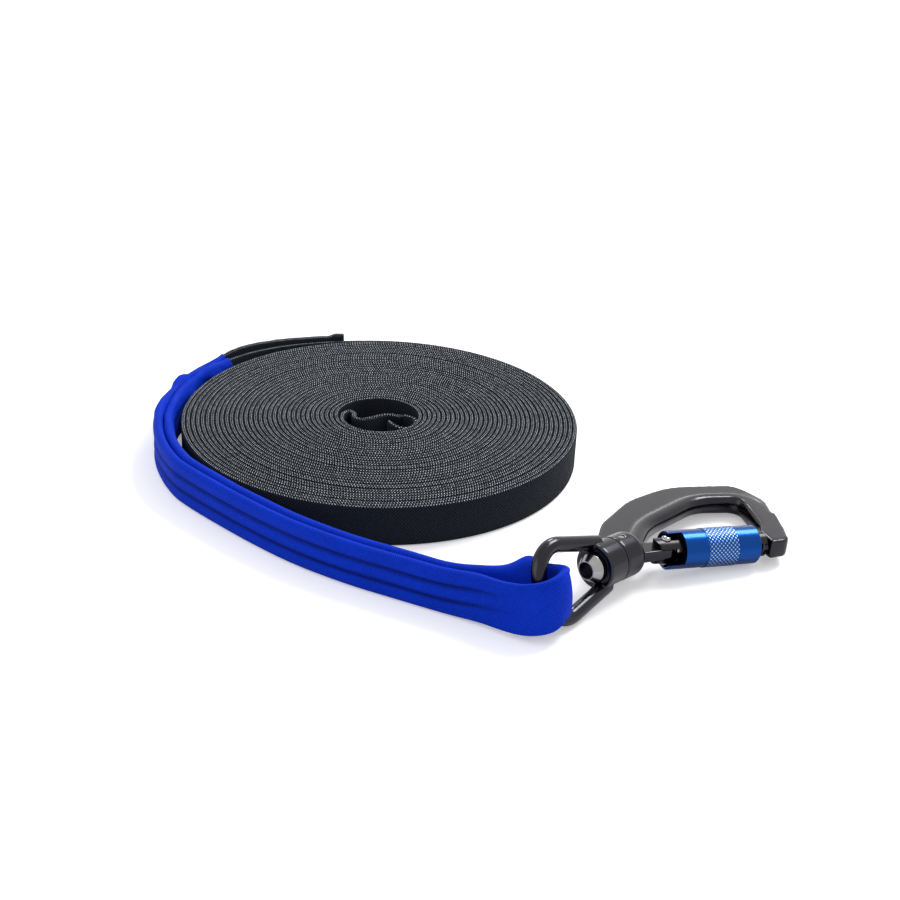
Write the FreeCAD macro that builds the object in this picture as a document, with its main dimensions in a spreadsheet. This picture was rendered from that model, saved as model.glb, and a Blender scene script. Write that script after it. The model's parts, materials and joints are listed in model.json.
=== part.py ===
import FreeCAD, Part
import math
import os
from FreeCAD import Matrix, Placement, Rotation, Vector

# A coiled webbing line with a sewn loop in a tubular chafe sleeve, and a forged
# swivel carabiner with a two-action locking sleeve.  Millimetres, +Z up.  The
# origin is on the floor, in the middle of the coil; the carabiner lies to +X, -Y.

SIZES = [
    # webbing and coil
    ("webbing_width", 25.0), ("webbing_thickness", 2.8), ("turn_gap", 0.2),
    ("coil_radius", 127.4), ("coil_turns", 34), ("coil_end_angle", 100.0),
    # loop: two legs of the same webbing inside the tubular sleeve
    ("tail_angle", 105.0), ("sleeve_start_angle", 144.0), ("sleeve_wall", 1.0),
    ("sleeve_slack", 0.4), ("sleeve_edge_slack", 0.2), ("rest_gap", 2.6), ("leg_gap", 0.8),
    ("bar_slack", 2.9), ("strap_drop", 0.9), ("strap_flare", 5.6),
    # bail and swivel
    ("hub_x", 136.2), ("hub_y", -161.3), ("hub_height", 18.6), ("swivel_azimuth", 47.0),
    ("swivel_dip", 4.9), ("bail_lean", 27.0), ("bail_reach", 58.0), ("bail_rod_diameter", 8.8),
    ("bail_half_width", 19.6), ("bail_corner_radius", 16.0), ("bail_arm_root", 11.6),
    ("hub_diameter", 25.4), ("ring_length", 14.5), ("boss_length", 17.2), ("boss_round", 4.5),
    ("seam_gap", 0.3), ("pin_diameter", 11.0), ("pin_head_diameter", 16.4),
    ("pin_head_height", 6.2), ("pin_bore_diameter", 9.2), ("pin_bore_depth", 15.0),
    ("pin_depth", 12.0), ("bush_wall", 1.0), ("washer_thickness", 1.0),
    ("thrust_washer_diameter", 19.0), ("seal_diameter", 23.6), ("seal_width", 1.2),
    ("lock_pin_diameter", 3.0), ("lock_pin_recess", 0.6), ("running_gap", 0.06),
    # forged body, in its own plane: X along the swivel axis, Y to the spine
    ("body_roll", -0.6), ("rod_diameter", 11.6), ("web_thickness", 7.6), ("body_length", 141.5),
    ("spine_width", 39.6), ("nose_thickness", 11.4),
    # gate and its hinge
    ("hinge_x", 35.2), ("hinge_y", -10.6), ("gate_angle", 27.4), ("nose_face", 62.8),
    ("gate_gap", 0.7), ("gate_diameter", 14.4), ("tang_thickness", 6.6), ("tang_radius", 6.0),
    ("side_gap", 0.2), ("hinge_pin_diameter", 4.6), ("plunger_diameter", 6.0),
    ("plunger_length", 10.0), ("gate_spring_length", 22.0), ("gate_spring_wire", 1.0),
    ("key_neck", 3.0), ("key_head", 5.6), ("key_head_length", 1.5), ("key_neck_length", 2.2),
    ("key_gap", 0.4), ("key_width", 9.4), ("key_low", 6.2), ("key_swing_gap", 1.6),
    # locking sleeve
    ("lock_sleeve_length", 55.8), ("lock_sleeve_diameter", 21.8), ("lock_sleeve_bore", 18.8),
    ("knurl_start", 22.0), ("knurl_length", 19.8), ("knurl_height", 0.3), ("mouth_width", 18.0),
    ("mouth_depth", 8.5), ("mouth_tilt", 30.0), ("end_ring_length", 2.4), ("slider_start", 9.6),
    ("slider_length", 8.0), ("slide_travel", 2.0), ("guide_gap", 0.4), ("guide_pin_diameter", 2.2),
    ("sleeve_spring_wire", 1.2), ("clip_start", 49.0),
    ("clip_thickness", 1.2), ("clip_groove_depth", 0.5),
    # stitching
    ("tack_width", 18.0), ("tack_height", 2.4), ("tack_rise", 0.5),
]

doc = FreeCAD.newDocument("webbing_line")
sheet = doc.addObject("Spreadsheet::Sheet", "Sizes")
for row, (alias, value) in enumerate(SIZES, 1):
    sheet.set("A%d" % row, alias)
    sheet.set("B%d" % row, str(value))
    sheet.setAlias("B%d" % row, alias)
doc.recompute()

NODES = []


def size(alias):
    """Read one driving dimension from the sheet."""
    return float(sheet.get(alias))


def node(obj, name):
    """Register a finished sub-part under its node name."""
    obj.Label = name
    NODES.append(obj)
    return obj


def bind(obj, **cells):
    """Tie properties to expressions of the sheet's cells."""
    for prop, expression in cells.items():
        obj.setExpression(prop, expression)
    return obj


# ---------------------------------------------------------------- primitives
def cylinder(name, radius, height, place):
    obj = doc.addObject("Part::Cylinder", name)
    obj.Placement = place
    return bind(obj, Radius=radius, Height=height)


def box(name, length, width, height, place):
    obj = doc.addObject("Part::Box", name)
    obj.Placement = place
    return bind(obj, Length=length, Width=width, Height=height)


def cut(name, base, tool):
    obj = doc.addObject("Part::Cut", name)
    obj.Base, obj.Tool = base, tool
    return obj


def fuse(name, parts):
    obj = doc.addObject("Part::MultiFuse", name)
    obj.Shapes = parts
    obj.Refine = True
    return obj


def common(name, base, tool):
    obj = doc.addObject("Part::Common", name)
    obj.Base, obj.Tool = base, tool
    return obj


def feature(name, shape, place=None):
    obj = doc.addObject("Part::Feature", name)
    obj.Shape = shape
    if place is not None:
        obj.Placement = place
    return obj


def extrusion(name, face, place, height):
    """A flat outline in a frame's XY plane, extruded half each way along Z."""
    source = feature(name + "_outline", face, place)
    obj = doc.addObject("Part::Extrusion", name)
    obj.Base = source
    obj.DirMode = "Custom"
    obj.Dir = place.Rotation.multVec(Vector(0, 0, 1))
    obj.Solid = True
    return bind(obj, LengthFwd=height + " / 2", LengthRev=height + " / 2")


def turned(name, points, place):
    """A profile of (x, radius) points turned about the frame's X axis."""
    source = feature(name + "_profile", outline(points), place)
    obj = doc.addObject("Part::Revolution", name)
    obj.Source = source
    obj.Axis = place.Rotation.multVec(Vector(1, 0, 0))
    obj.Base = place.Base
    obj.Angle = 360
    obj.Solid = True
    return obj


def along_x(x=0.0, y=0.0, z=0.0):
    """Local placement that turns a cylinder's own Z axis onto X."""
    return Placement(Vector(x, y, z), Rotation(Vector(0, 1, 0), 90))


def at(x=0.0, y=0.0, z=0.0):
    return Placement(Vector(x, y, z), Rotation())


def frame(origin, x_axis, z_axis):
    """Placement whose X and Z axes are the given directions."""
    y_axis = z_axis.cross(x_axis)
    turn = Matrix(x_axis.x, y_axis.x, z_axis.x, 0, x_axis.y, y_axis.y, z_axis.y, 0,
                  x_axis.z, y_axis.z, z_axis.z, 0, 0, 0, 0, 1)
    return Placement(origin, Rotation(turn))


# --------------------------------------------------------- paths and outlines
def rounded(points, radii, closed=False):
    """Segments of straight runs joined by tangent arcs.

    A radius of None takes the largest arc that the two runs leave room for.
    Each segment is ("line", start, end) or ("arc", centre, start, end, left),
    where left is +1 for an arc that turns left.
    """
    count = len(points)
    corners = range(count) if closed else range(1, count - 1)
    trims = {}
    for i in corners:
        before = points[i - 1] - points[i]
        after = points[(i + 1) % count] - points[i]
        turn = math.pi - before.getAngle(after)
        if radii[i] is None:
            # A run is shared by the arcs at its two ends, but not at the path's own ends.
            reach = min(before.Length * (1.0 if i == 1 and not closed else 0.5),
                        after.Length * (1.0 if i == count - 2 and not closed else 0.5))
        else:
            reach = radii[i] * math.tan(turn / 2)
        if turn < 1e-4 or reach < 1e-6:
            continue
        start = points[i] + before.normalize() * reach
        end = points[i] + after.normalize() * reach
        side = 1 if before.cross(after).z < 0 else -1
        tangent = before * -1
        centre = start + Vector(-tangent.y, tangent.x, 0) * side * (reach / math.tan(turn / 2))
        trims[i] = (start, end, centre, side)
    segments = []
    here = points[0] if not closed or 0 not in trims else trims[0][1]
    for i in list(range(1, count)) + ([0] if closed else []):
        start = trims[i][0] if i in trims else points[i]
        if (start - here).Length > 1e-5:
            segments.append(("line", here, start))
        here = start
        if i in trims:
            segments.append(("arc", trims[i][2], start, trims[i][1], trims[i][3]))
            here = trims[i][1]
    return segments


def offset(segments, shift):
    """The same path moved to its left by shift."""
    moved = []
    for segment in segments:
        if segment[0] == "line":
            run = (segment[2] - segment[1]).normalize()
            step = Vector(-run.y, run.x, 0) * shift
            moved.append(("line", segment[1] + step, segment[2] + step))
        else:
            kind, centre, start, end, left = segment
            arm = (start - centre).Length
            scale = (arm - left * shift) / arm
            moved.append((kind, centre, centre + (start - centre) * scale,
                          centre + (end - centre) * scale, left))
    return moved


def edges(segments, z=0.0):
    """Edges of a path at height z."""
    lift = Vector(0, 0, z)
    made = []
    for segment in segments:
        if segment[0] == "line":
            made.append(Part.LineSegment(segment[1] + lift, segment[2] + lift).toShape())
            continue
        kind, centre, start, end, left = segment
        first = math.atan2(start.y - centre.y, start.x - centre.x)
        last = math.atan2(end.y - centre.y, end.x - centre.x)
        sweep = (last - first) * left % (2 * math.pi)
        half = first + left * sweep / 2
        arm = (start - centre).Length
        middle = centre + Vector(math.cos(half), math.sin(half), 0) * arm
        made.append(Part.Arc(start + lift, middle + lift, end + lift).toShape())
    return made


def outline(points):
    """Closed face from (x, y) or (x, y, corner radius) points."""
    vertices = [Vector(p[0], p[1], 0) for p in points]
    radii = [p[2] if len(p) > 2 else 0.0 for p in points]
    return Part.Face(Part.Wire(edges(rounded(vertices, radii, closed=True))))


def band(segments, half, low, high):
    """A strip of even thickness on edge along a path, from low to high."""
    left = edges(offset(segments, half), low)
    right = edges(offset(segments, -half), low)
    first = Part.LineSegment(left[0].Vertexes[0].Point, right[0].Vertexes[0].Point).toShape()
    starts = [first]
    tips = [offset(segments, half)[-1], offset(segments, -half)[-1]]
    ends = [tip[2] if tip[0] == "line" else tip[3] for tip in tips]
    lift = Vector(0, 0, low)
    last = Part.LineSegment(ends[0] + lift, ends[1] + lift).toShape()
    wire = Part.Wire(Part.__sortEdges__(left + starts + right + [last]))
    return Part.Face(wire).extrude(Vector(0, 0, high - low))


# -------------------------------------------------------------------- frames
azimuth = math.radians(size("swivel_azimuth"))
dip = math.radians(size("swivel_dip"))
swivel_axis = Vector(math.cos(azimuth) * math.cos(dip), math.sin(azimuth) * math.cos(dip),
                     -math.sin(dip))
level = Vector(-math.sin(azimuth), math.cos(azimuth), 0)
lean = math.radians(size("bail_lean"))
roll = math.radians(size("body_roll"))
above = swivel_axis.cross(level)
bar_axis = above * math.cos(lean) + level * math.sin(lean)
body_up = above * math.cos(roll) - level * math.sin(roll)
hub_centre = Vector(size("hub_x"), size("hub_y"), size("hub_height"))
bar_centre = hub_centre - swivel_axis * size("bail_reach")
BAIL = frame(hub_centre, swivel_axis, bar_axis)
HOOK = frame(hub_centre, swivel_axis, body_up)
hinge = Vector(size("hinge_x"), size("hinge_y"), 0)
GATE = HOOK.multiply(Placement(hinge, Rotation(Vector(0, 0, 1), -size("gate_angle"))))


# --------------------------------------------------------------- webbing line
thick = size("webbing_thickness")
pitch = thick + size("turn_gap")
end_angle = math.radians(size("coil_end_angle"))
end_direction = Vector(math.cos(end_angle), math.sin(end_angle), 0)


def coil_path():
    """Half turns about two centres half a pitch apart, wound outward to the left."""
    halves = 2 * int(size("coil_turns"))
    outer = size("coil_radius") - thick / 2
    path = []
    for k in range(halves):
        arm = outer - (halves - 1 - k) * pitch / 2
        odd = (halves - 1 - k) % 2
        centre = end_direction * (-pitch / 2 if odd else 0.0)
        out = end_direction * (arm if odd else -arm)
        path.append(("arc", centre, centre + out, centre - out, 1))
    return path


def polar(radius, degrees):
    angle = math.radians(degrees)
    return Vector(radius * math.cos(angle), radius * math.sin(angle), 0)


tube_half = thick / 2 + size("sleeve_slack") + size("sleeve_wall")
tube_void = thick / 2 + size("sleeve_slack")
rest_radius = size("coil_radius") + size("rest_gap") + tube_half
leg_step = 2 * tube_half + size("leg_gap")
LEG_STEPS = 14
LEAVE_ANGLE = 222.0
# Where both legs leave the coil side by side for the bail.
LEG_POINTS = [(-48.4, -138.0), (-8.4, -163.4), (24.0, -178.6), (54.0, -192.6)]


def leg_points(outer):
    """Centreline of one leg, from the back of the coil to short of the bail."""
    first = size("tail_angle") if outer else size("coil_end_angle")
    start = size("sleeve_start_angle")
    inner = size("coil_radius") - thick / 2
    step = (LEAVE_ANGLE - first) / LEG_STEPS
    points = []
    for k in range(LEG_STEPS + 1):
        angle = first + max(0.0, k - 0.5) * step
        share = min(1.0, max(0.0, (angle - first) / (start - first)))
        share = share * share * (3 - 2 * share)
        radius = inner + (rest_radius - inner) * share
        if outer:
            radius += thick + (leg_step - thick) * share
        # Points stand outside the arc by this much, so that the arcs lie on the radius.
        points.append(polar(radius / math.cos(math.radians(step / 2 if k else 0)), angle))
    side = -0.5 if outer else 0.5
    middle = [Vector(x, y, 0) for x, y in LEG_POINTS]
    for i, point in enumerate(middle):
        run = (middle[min(i + 1, len(middle) - 1)] - middle[i - 1 if i else 0]).normalize()
        points.append(point + Vector(-run.y, run.x, 0) * side * leg_step)
    return points


def free_heading():
    """Heading of the legs where they leave the floor plan for the bail."""
    run = Vector(*LEG_POINTS[-1], 0) - Vector(*LEG_POINTS[-2], 0)
    return run.normalize()


wrap_radius = size("bail_rod_diameter") / 2 + size("bar_slack") + tube_half
heading = free_heading()
wrap_run = (heading - bar_axis * heading.dot(bar_axis)).normalize()
wrap_left = bar_axis.cross(wrap_run)
wrap_centre = bar_centre - bar_axis * size("strap_drop")
sleeve_high = size("webbing_width") + 2 * (size("sleeve_edge_slack") + size("sleeve_wall"))


def across(centre, wide, deep, half_width, half_depth, flare=0.0):
    """Closed wire across the strap; flare lifts its edges off the bar along deep."""
    lift = deep * flare * (2 * half_width / sleeve_high) ** 2
    sides = []
    for level_of in (-half_depth, half_depth):
        middle = centre + deep * level_of
        first = middle - wide * half_width + lift
        last = middle + wide * half_width + lift
        if flare:
            sides.append(Part.Arc(first, middle, last).toShape())
        else:
            sides.append(Part.LineSegment(first, last).toShape())
    ends = [Part.LineSegment(sides[0].Vertexes[k].Point, sides[1].Vertexes[k].Point).toShape()
            for k in (0, 1)]
    return Part.Wire([sides[0], ends[1], sides[1], ends[0]])


def strap(half_depth, half_width, first_angle=0.0):
    """Both legs and the flared bend round the bar, of one section."""
    middle_height = sleeve_high / 2
    flare = size("strap_flare")
    solids = []
    for outer in (False, True):
        points = leg_points(outer)
        inside = [p for p in points if swept(p) >= first_angle]
        skipped = len(points) - len(inside)
        if skipped:
            inside.insert(0, (points[skipped - 1] + points[skipped]) / 2)
        points = inside
        path = rounded(points, [None] * len(points))
        solids.append(band(path, half_depth, middle_height - half_width,
                           middle_height + half_width))
        run = (points[-1] - points[-2]).normalize()
        out = Vector(-run.y, run.x, 0) * (-1 if outer else 1)
        away = wrap_left * (-1 if outer else 1)
        tip = points[-1] + Vector(0, 0, middle_height)
        target = wrap_centre + away * wrap_radius
        solids.append(Part.makeLoft([
            across(tip, Vector(0, 0, 1), out, half_width, half_depth),
            across(target, bar_axis, away, half_width, half_depth, flare)], True, True))
    start = across(wrap_centre + wrap_left * wrap_radius, bar_axis, wrap_left, half_width,
                   half_depth, flare)
    solids.append(Part.Face(start).revolve(wrap_centre, bar_axis, -180))
    return solids[0].multiFuse(solids[1:])


def swept(point):
    """Angle of a point counter-clockwise from the coil's end, in degrees."""
    turn = math.degrees(math.atan2(point.y, point.x)) - size("coil_end_angle")
    return turn % 360 + size("coil_end_angle")


def build_line():
    """Coil, loop, chafe sleeve and bar tacks."""
    width = size("webbing_width")
    coil = band(coil_path(), thick / 2, 0, width)
    node(feature("coil", coil), "webbing_coil")
    loop = strap(thick / 2, width / 2)
    node(feature("loop", loop), "webbing_loop")
    start = size("sleeve_start_angle")
    skin = strap(tube_half, sleeve_high / 2, start)
    inside = strap(tube_void, sleeve_high / 2 - size("sleeve_wall"), start)
    node(feature("chafe", skin.cut(inside)), "chafe_sleeve")
    build_tacks(loop)


def build_tacks(loop):
    """Bar tacks that sew the folded end down, on the outer face of the doubled stretch."""
    low = (sleeve_high - size("tack_width")) / 2
    points = leg_points(True)
    path = rounded(points, [None] * len(points))
    face = offset(path, -(thick / 2 + size("tack_rise") / 2))
    tacks = []
    for angle in (108.0, 116.0, 124.0, 132.0):
        spot = nearest(face, angle)
        run = Vector(-math.sin(math.radians(angle)), math.cos(math.radians(angle)), 0)
        place = frame(spot + Vector(0, 0, low + size("tack_width") / 2), run, Vector(0, 0, 1))
        block = Part.makeBox(size("tack_height"), size("tack_rise"), size("tack_width"),
                             Vector(-size("tack_height") / 2, -size("tack_rise") / 2,
                                    -size("tack_width") / 2))
        block.Placement = place
        tacks.append(block)
    node(feature("tacks", Part.makeCompound([tack.cut(loop) for tack in tacks])), "bar_tacks")


def nearest(path, degrees):
    """Point of a path on a ray from the coil's middle."""
    wire = Part.Wire(edges(path))
    ray = Part.LineSegment(polar(90.0, degrees), polar(220.0, degrees)).toShape()
    return wire.distToShape(ray)[1][0][0]


# ------------------------------------------------------------- bail and swivel
def build_bail():
    """Ring forged in one with a rounded bail, bushed for the swivel pin."""
    reach = size("bail_reach")
    corner = size("bail_corner_radius")
    root = size("bail_arm_root")
    wide = size("bail_half_width")
    # The arms splay so that the widest centreline is bail_half_width.
    slope = math.atan2(wide - root, reach - corner - size("ring_length") / 2)
    apex = wide - corner + corner * math.tan((math.pi / 2 + slope) / 2)
    start = -size("ring_length") / 2
    flat = [Vector(start, root, 0), Vector(-reach, apex, 0), Vector(-reach, -apex, 0),
            Vector(start, -root, 0)]
    upright = BAIL.multiply(Placement(Vector(), Rotation(Vector(1, 0, 0), 90)))
    spine = feature("bail_spine", Part.Wire(edges(rounded(flat, [0, corner, corner, 0]))), upright)
    tangent = (flat[1] - flat[0]).normalize()
    section = Part.Wire(Part.makeCircle(size("bail_rod_diameter") / 2, flat[0], tangent))
    profile = feature("bail_section", section, upright)
    rod = doc.addObject("Part::Sweep", "bail_rod")
    rod.Sections = [profile]
    rod.Spine = (spine, ["Edge%d" % (i + 1) for i in range(len(spine.Shape.Edges))])
    rod.Solid = True
    rod.Frenet = True
    long = size("ring_length")
    hub = size("hub_diameter") / 2
    ring = turned("bail_ring", [(-long, 0), (-long, hub, 1.2), (0, hub, 0.5), (0, 0)], BAIL)
    whole = fuse("bail_blank", [ring, rod])
    bore = cylinder("bail_bore", "Sizes.pin_diameter / 2 + Sizes.running_gap + Sizes.bush_wall",
                    "Sizes.ring_length + 8", BAIL.multiply(along_x(-long - 4)))
    washer = cylinder("bail_washer_seat", "Sizes.thrust_washer_diameter / 2",
                      "Sizes.washer_thickness + 1",
                      BAIL.multiply(along_x(-size("washer_thickness") + size("seam_gap"))))
    seat = size("seal_diameter") / 2
    inner = seat - size("seal_width")
    groove = turned("bail_seal_seat", [(-0.9, inner), (-0.9, seat), (1, seat), (1, inner)], BAIL)
    node(cut("bail_body", whole, fuse("bail_cuts", [bore, washer, groove])), "bail")
    build_bearing(inner, seat)


def ring_node(name, label, inner, outer, first, last, place):
    """A plain ring from first to last along the frame's X axis."""
    points = [(first, inner), (first, outer, 0.15), (last, outer, 0.15), (last, inner)]
    return node(turned(name, points, place), label)


def build_bearing(seal_inner, seal_outer):
    """Bush, washers and seal between the ring, the pin and the boss."""
    long = size("ring_length")
    shank = size("pin_diameter") / 2
    bush = shank + size("running_gap")
    plate = size("washer_thickness")
    lift = size("seam_gap")
    ring_node("bush", "swivel_bush", bush, bush + size("bush_wall"), -long, -plate + lift - 0.05,
              BAIL)
    ring_node("head_washer", "head_washer", bush, size("pin_head_diameter") / 2 + 0.3,
              -long - plate, -long, BAIL)
    ring_node("thrust_washer", "thrust_washer", bush, size("thrust_washer_diameter") / 2,
              -plate + lift, lift - 0.05, BAIL)
    ring_node("seal", "seal_ring", seal_inner, seal_outer, -0.9, lift - 0.08, BAIL)


def build_pin():
    """Hollow domed swivel pin, fixed in the boss by a cross pin."""
    base = -size("ring_length") - size("washer_thickness") - 0.1
    head = size("pin_head_diameter") / 2
    bore = size("pin_bore_diameter") / 2
    tip = base - size("pin_head_height")
    shank = size("pin_diameter") / 2
    points = [(tip, bore), (tip, bore + 0.6, 0.3), (base - 1.2, head, 2.6), (base, head, 0.4),
              (base, shank), (size("pin_depth"), shank, 0.6), (size("pin_depth"), 0),
              (tip + size("pin_bore_depth"), 0), (tip + size("pin_bore_depth"), bore)]
    blank = turned("pin_blank", points, HOOK)
    cross = cylinder("pin_cross_hole", "Sizes.lock_pin_diameter / 2", "Sizes.hub_diameter * 2",
                     HOOK.multiply(at(size("boss_length") * 0.4, 0, -size("hub_diameter"))))
    node(cut("pin_body", blank, cross), "swivel_pin")
    recess = size("lock_pin_recess")
    half = size("hub_diameter") / 2 - recess
    node(cylinder("cross_pin", "Sizes.lock_pin_diameter / 2",
                  "Sizes.hub_diameter - 2 * Sizes.lock_pin_recess",
                  HOOK.multiply(at(size("boss_length") * 0.4, 0, -half))), "pin_lock_pin")


# ------------------------------------------------------------------ forged hook
def gate_point(along, across):
    """Point given along and across the closed gate, in the hook's plane."""
    angle = -math.radians(size("gate_angle"))
    return (hinge.x + along * math.cos(angle) - across * math.sin(angle),
            hinge.y + along * math.sin(angle) + across * math.cos(angle))


def rod_line():
    """Centreline of the round inner edge, from the boss round to the nose."""
    far = size("body_length")
    nose = gate_point(size("nose_face") + 7.7, 3.5)
    return [(12.0, -3.0, 0), (48.0, 14.8, 60.0), (far - 38.5, 18.7, 40.0),
            (far - 9.8, 0.5, 11.0), (nose[0], nose[1], 0)]


def build_hook():
    """Boss, web, round inner edge, hinge tang and nose of the forged body."""
    far = size("body_length")
    wide = size("spine_width")
    line = rod_line()
    face = size("nose_face")
    corner_in = gate_point(face, 5.5)
    corner_out = gate_point(face, -9.3)
    tip = gate_point(face + 12.2, -8.0)
    web = [(5, 4), (6, 15.5, 5), (27, 28.6, 40), (66, wide, 60), (far - 38, 38, 50),
           (far, 15, 12), (far - 3, -6, 30), (tip[0], tip[1], 4.5), corner_out, corner_in,
           (line[3][0] - 17, -22)] + [line[3], line[2], line[1], line[0]]
    plate = extrusion("web", outline(web), HOOK, "Sizes.web_thickness")
    nose = [corner_in, (line[3][0] - 17, -22), (far - 17, -26), (tip[0], tip[1], 4.5), corner_out]
    block = extrusion("nose_block", outline(nose), HOOK, "Sizes.nose_thickness")
    spine = feature("rod_spine", Part.Wire(edges(rounded([Vector(p[0], p[1], 0) for p in line],
                                                         [p[2] for p in line]))), HOOK)
    start = Vector(line[0][0], line[0][1], 0)
    tangent = Vector(line[1][0], line[1][1], 0) - start
    section = feature("rod_section", Part.Wire(Part.makeCircle(size("rod_diameter") / 2, start,
                                                               tangent)), HOOK)
    rod = doc.addObject("Part::Sweep", "rod")
    rod.Sections = [section]
    rod.Spine = (spine, ["Edge%d" % (i + 1) for i in range(len(spine.Shape.Edges))])
    rod.Solid = True
    rod.Frenet = True
    hub = size("hub_diameter") / 2
    gap = size("seam_gap")
    long = size("boss_length")
    boss = turned("boss", [(gap, 0), (gap, hub, 0.5), (long, hub, size("boss_round")), (long, 0)],
                  HOOK)
    run = (hinge - Vector(11, -1, 0)).normalize()
    side = Vector(-run.y, run.x, 0) * size("tang_radius")
    corners = [Vector(11, -1, 0) - side, hinge - side, hinge + side, Vector(11, -1, 0) + side]
    tang = [(corner.x, corner.y) for corner in corners]
    root = extrusion("tang_root", outline(tang), HOOK, "Sizes.tang_thickness")
    eye = cylinder("tang_eye", "Sizes.tang_radius", "Sizes.tang_thickness",
                   HOOK.multiply(at(hinge.x, hinge.y, -size("tang_thickness") / 2)))
    blank = fuse("hook_blank", [plate, block, rod, boss, root, eye] + build_key())
    sweep = size("lock_sleeve_diameter") / 2 + 0.9
    clear = hook_clearance(sweep)
    holes = [clear,
             cylinder("boss_bore", "Sizes.pin_diameter / 2", "Sizes.pin_depth + 1",
                      HOOK.multiply(along_x(-1))),
             cylinder("boss_cross_hole", "Sizes.lock_pin_diameter / 2", "Sizes.hub_diameter * 2",
                      HOOK.multiply(at(long * 0.4, 0, -size("hub_diameter")))),
             cylinder("tang_hole", "Sizes.hinge_pin_diameter / 2 + Sizes.running_gap",
                      "Sizes.hub_diameter",
                      HOOK.multiply(at(hinge.x, hinge.y, -size("hub_diameter") / 2)))]
    node(cut("hook", blank, fuse("hook_cuts", holes)), "carabiner_body")


def hook_clearance(sweep):
    """Space about the hinge, above and below the tang, that the sleeve's end sweeps."""
    disc = cylinder("hinge_room", str(sweep), "Sizes.hub_diameter * 2",
                    HOOK.multiply(at(hinge.x, hinge.y, -size("hub_diameter"))))
    keep = cylinder("hinge_keep", str(sweep + 1), "Sizes.tang_thickness",
                    HOOK.multiply(at(hinge.x, hinge.y, -size("tang_thickness") / 2)))
    return cut("hinge_clearance", disc, keep)


def build_key():
    """T-shaped key on the nose that the gate's end closes over."""
    face = size("nose_face")
    neck = size("key_neck_length")
    head = size("key_head_length")
    wide = "Sizes.key_width"
    low = -size("key_low")
    return [box("key_neck_block", "Sizes.key_neck_length + 1", wide, "Sizes.key_neck",
                GATE.multiply(at(face - neck, low, -size("key_neck") / 2))),
            box("key_head_block", "Sizes.key_head_length", wide, "Sizes.key_head",
                GATE.multiply(at(face - neck - head, low, -size("key_head") / 2)))]


# ------------------------------------------------------------- gate and sleeve
def build_gate():
    """Round gate, slotted for the tang and the nose key, bored for its spring."""
    long = size("nose_face") - size("gate_gap")
    arm = size("gate_diameter") / 2
    bar = turned("gate_bar", [(-arm, 0), (-arm, arm), (long, arm, 0.8), (long, 0)], GATE)
    plan = extrusion("gate_plan", outline([(0, -arm), (long, -arm), (long, arm), (0, arm)]), GATE,
                     "Sizes.gate_diameter + 2")
    eye = cylinder("gate_eye", "Sizes.gate_diameter / 2", "Sizes.gate_diameter + 2",
                   GATE.multiply(at(0, 0, -arm - 1)))
    blank = common("gate_blank", bar, fuse("gate_limit", [plan, eye]))
    slot_end = size("tang_radius") + 2.5
    gap = size("key_gap")
    face = size("nose_face")
    neck, head = size("key_neck_length"), size("key_head_length")
    holes = [
        box("tang_slot", "Sizes.tang_radius + 2.5 + Sizes.gate_diameter",
            "Sizes.gate_diameter + 2", "Sizes.tang_thickness + 2 * Sizes.side_gap",
            GATE.multiply(at(-2 * arm, -arm - 1, -size("tang_thickness") / 2 - size("side_gap")))),
        cylinder("spring_bore", "Sizes.plunger_diameter / 2 + Sizes.side_gap",
                 "Sizes.plunger_length + Sizes.gate_spring_length + 2",
                 GATE.multiply(along_x(slot_end - 2))),
        cylinder("gate_hinge_hole", "Sizes.hinge_pin_diameter / 2", "Sizes.gate_diameter + 2",
                 GATE.multiply(at(0, 0, -arm - 1))),
        box("key_neck_slot", "Sizes.key_neck_length + Sizes.key_gap + 3",
            "Sizes.gate_diameter / 2 + 1 + Sizes.key_width - Sizes.key_low + Sizes.key_gap",
            "Sizes.key_neck + 2 * Sizes.key_gap",
            GATE.multiply(at(face - neck - gap, -arm - 1, -size("key_neck") / 2 - gap))),
        box("key_head_slot", "Sizes.key_head_length + Sizes.key_gap + Sizes.key_swing_gap",
            "Sizes.gate_diameter / 2 + 1 + Sizes.key_width - Sizes.key_low + Sizes.key_gap",
            "Sizes.key_head + 2 * Sizes.key_gap",
            GATE.multiply(at(face - neck - head - size("key_swing_gap"), -arm - 1,
                             -size("key_head") / 2 - gap))),
        cylinder("guide_hole", "Sizes.guide_pin_diameter / 2", "Sizes.gate_diameter",
                 guide_place(size("plunger_diameter") / 2 + 0.2)),
        clip_groove(),
    ]
    node(cut("gate_body", blank, fuse("gate_cuts", holes)), "gate")
    half = arm - 0.2
    node(turned_z("hinge_rivet", [(-half - 0.5, 0), (-half - 0.5, 1.2, 0.4),
                                  (-half, size("hinge_pin_diameter") / 2),
                                  (half, size("hinge_pin_diameter") / 2),
                                  (half + 0.5, 1.2, 0.4), (half + 0.5, 0)]), "hinge_pin")
    tip = size("tang_radius") + 0.4
    rod = size("plunger_diameter") / 2
    node(turned("plunger", [(tip, 0), (tip, rod, 1.5), (tip + size("plunger_length"), rod),
                            (tip + size("plunger_length"), 0)], GATE), "gate_plunger")
    spring("gate_coil", "gate_spring", rod - size("gate_spring_wire") / 2, 9,
           tip + size("plunger_length") + size("gate_spring_wire") + 0.1,
           size("gate_spring_length") * 0.9,
           size("gate_spring_wire") / 2)


def turned_z(name, points):
    """A pin turned about the hinge axis."""
    upright = GATE.multiply(Placement(Vector(), Rotation(Vector(0, 1, 0), -90)))
    return turned(name, points, upright)


def guide_along():
    """Where the guide pin stands along the gate, at the closed end of the slider's slot."""
    tail = size("slider_start") + size("slider_length")
    return tail - size("guide_gap") - size("guide_pin_diameter") / 2 - 1.0


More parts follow.
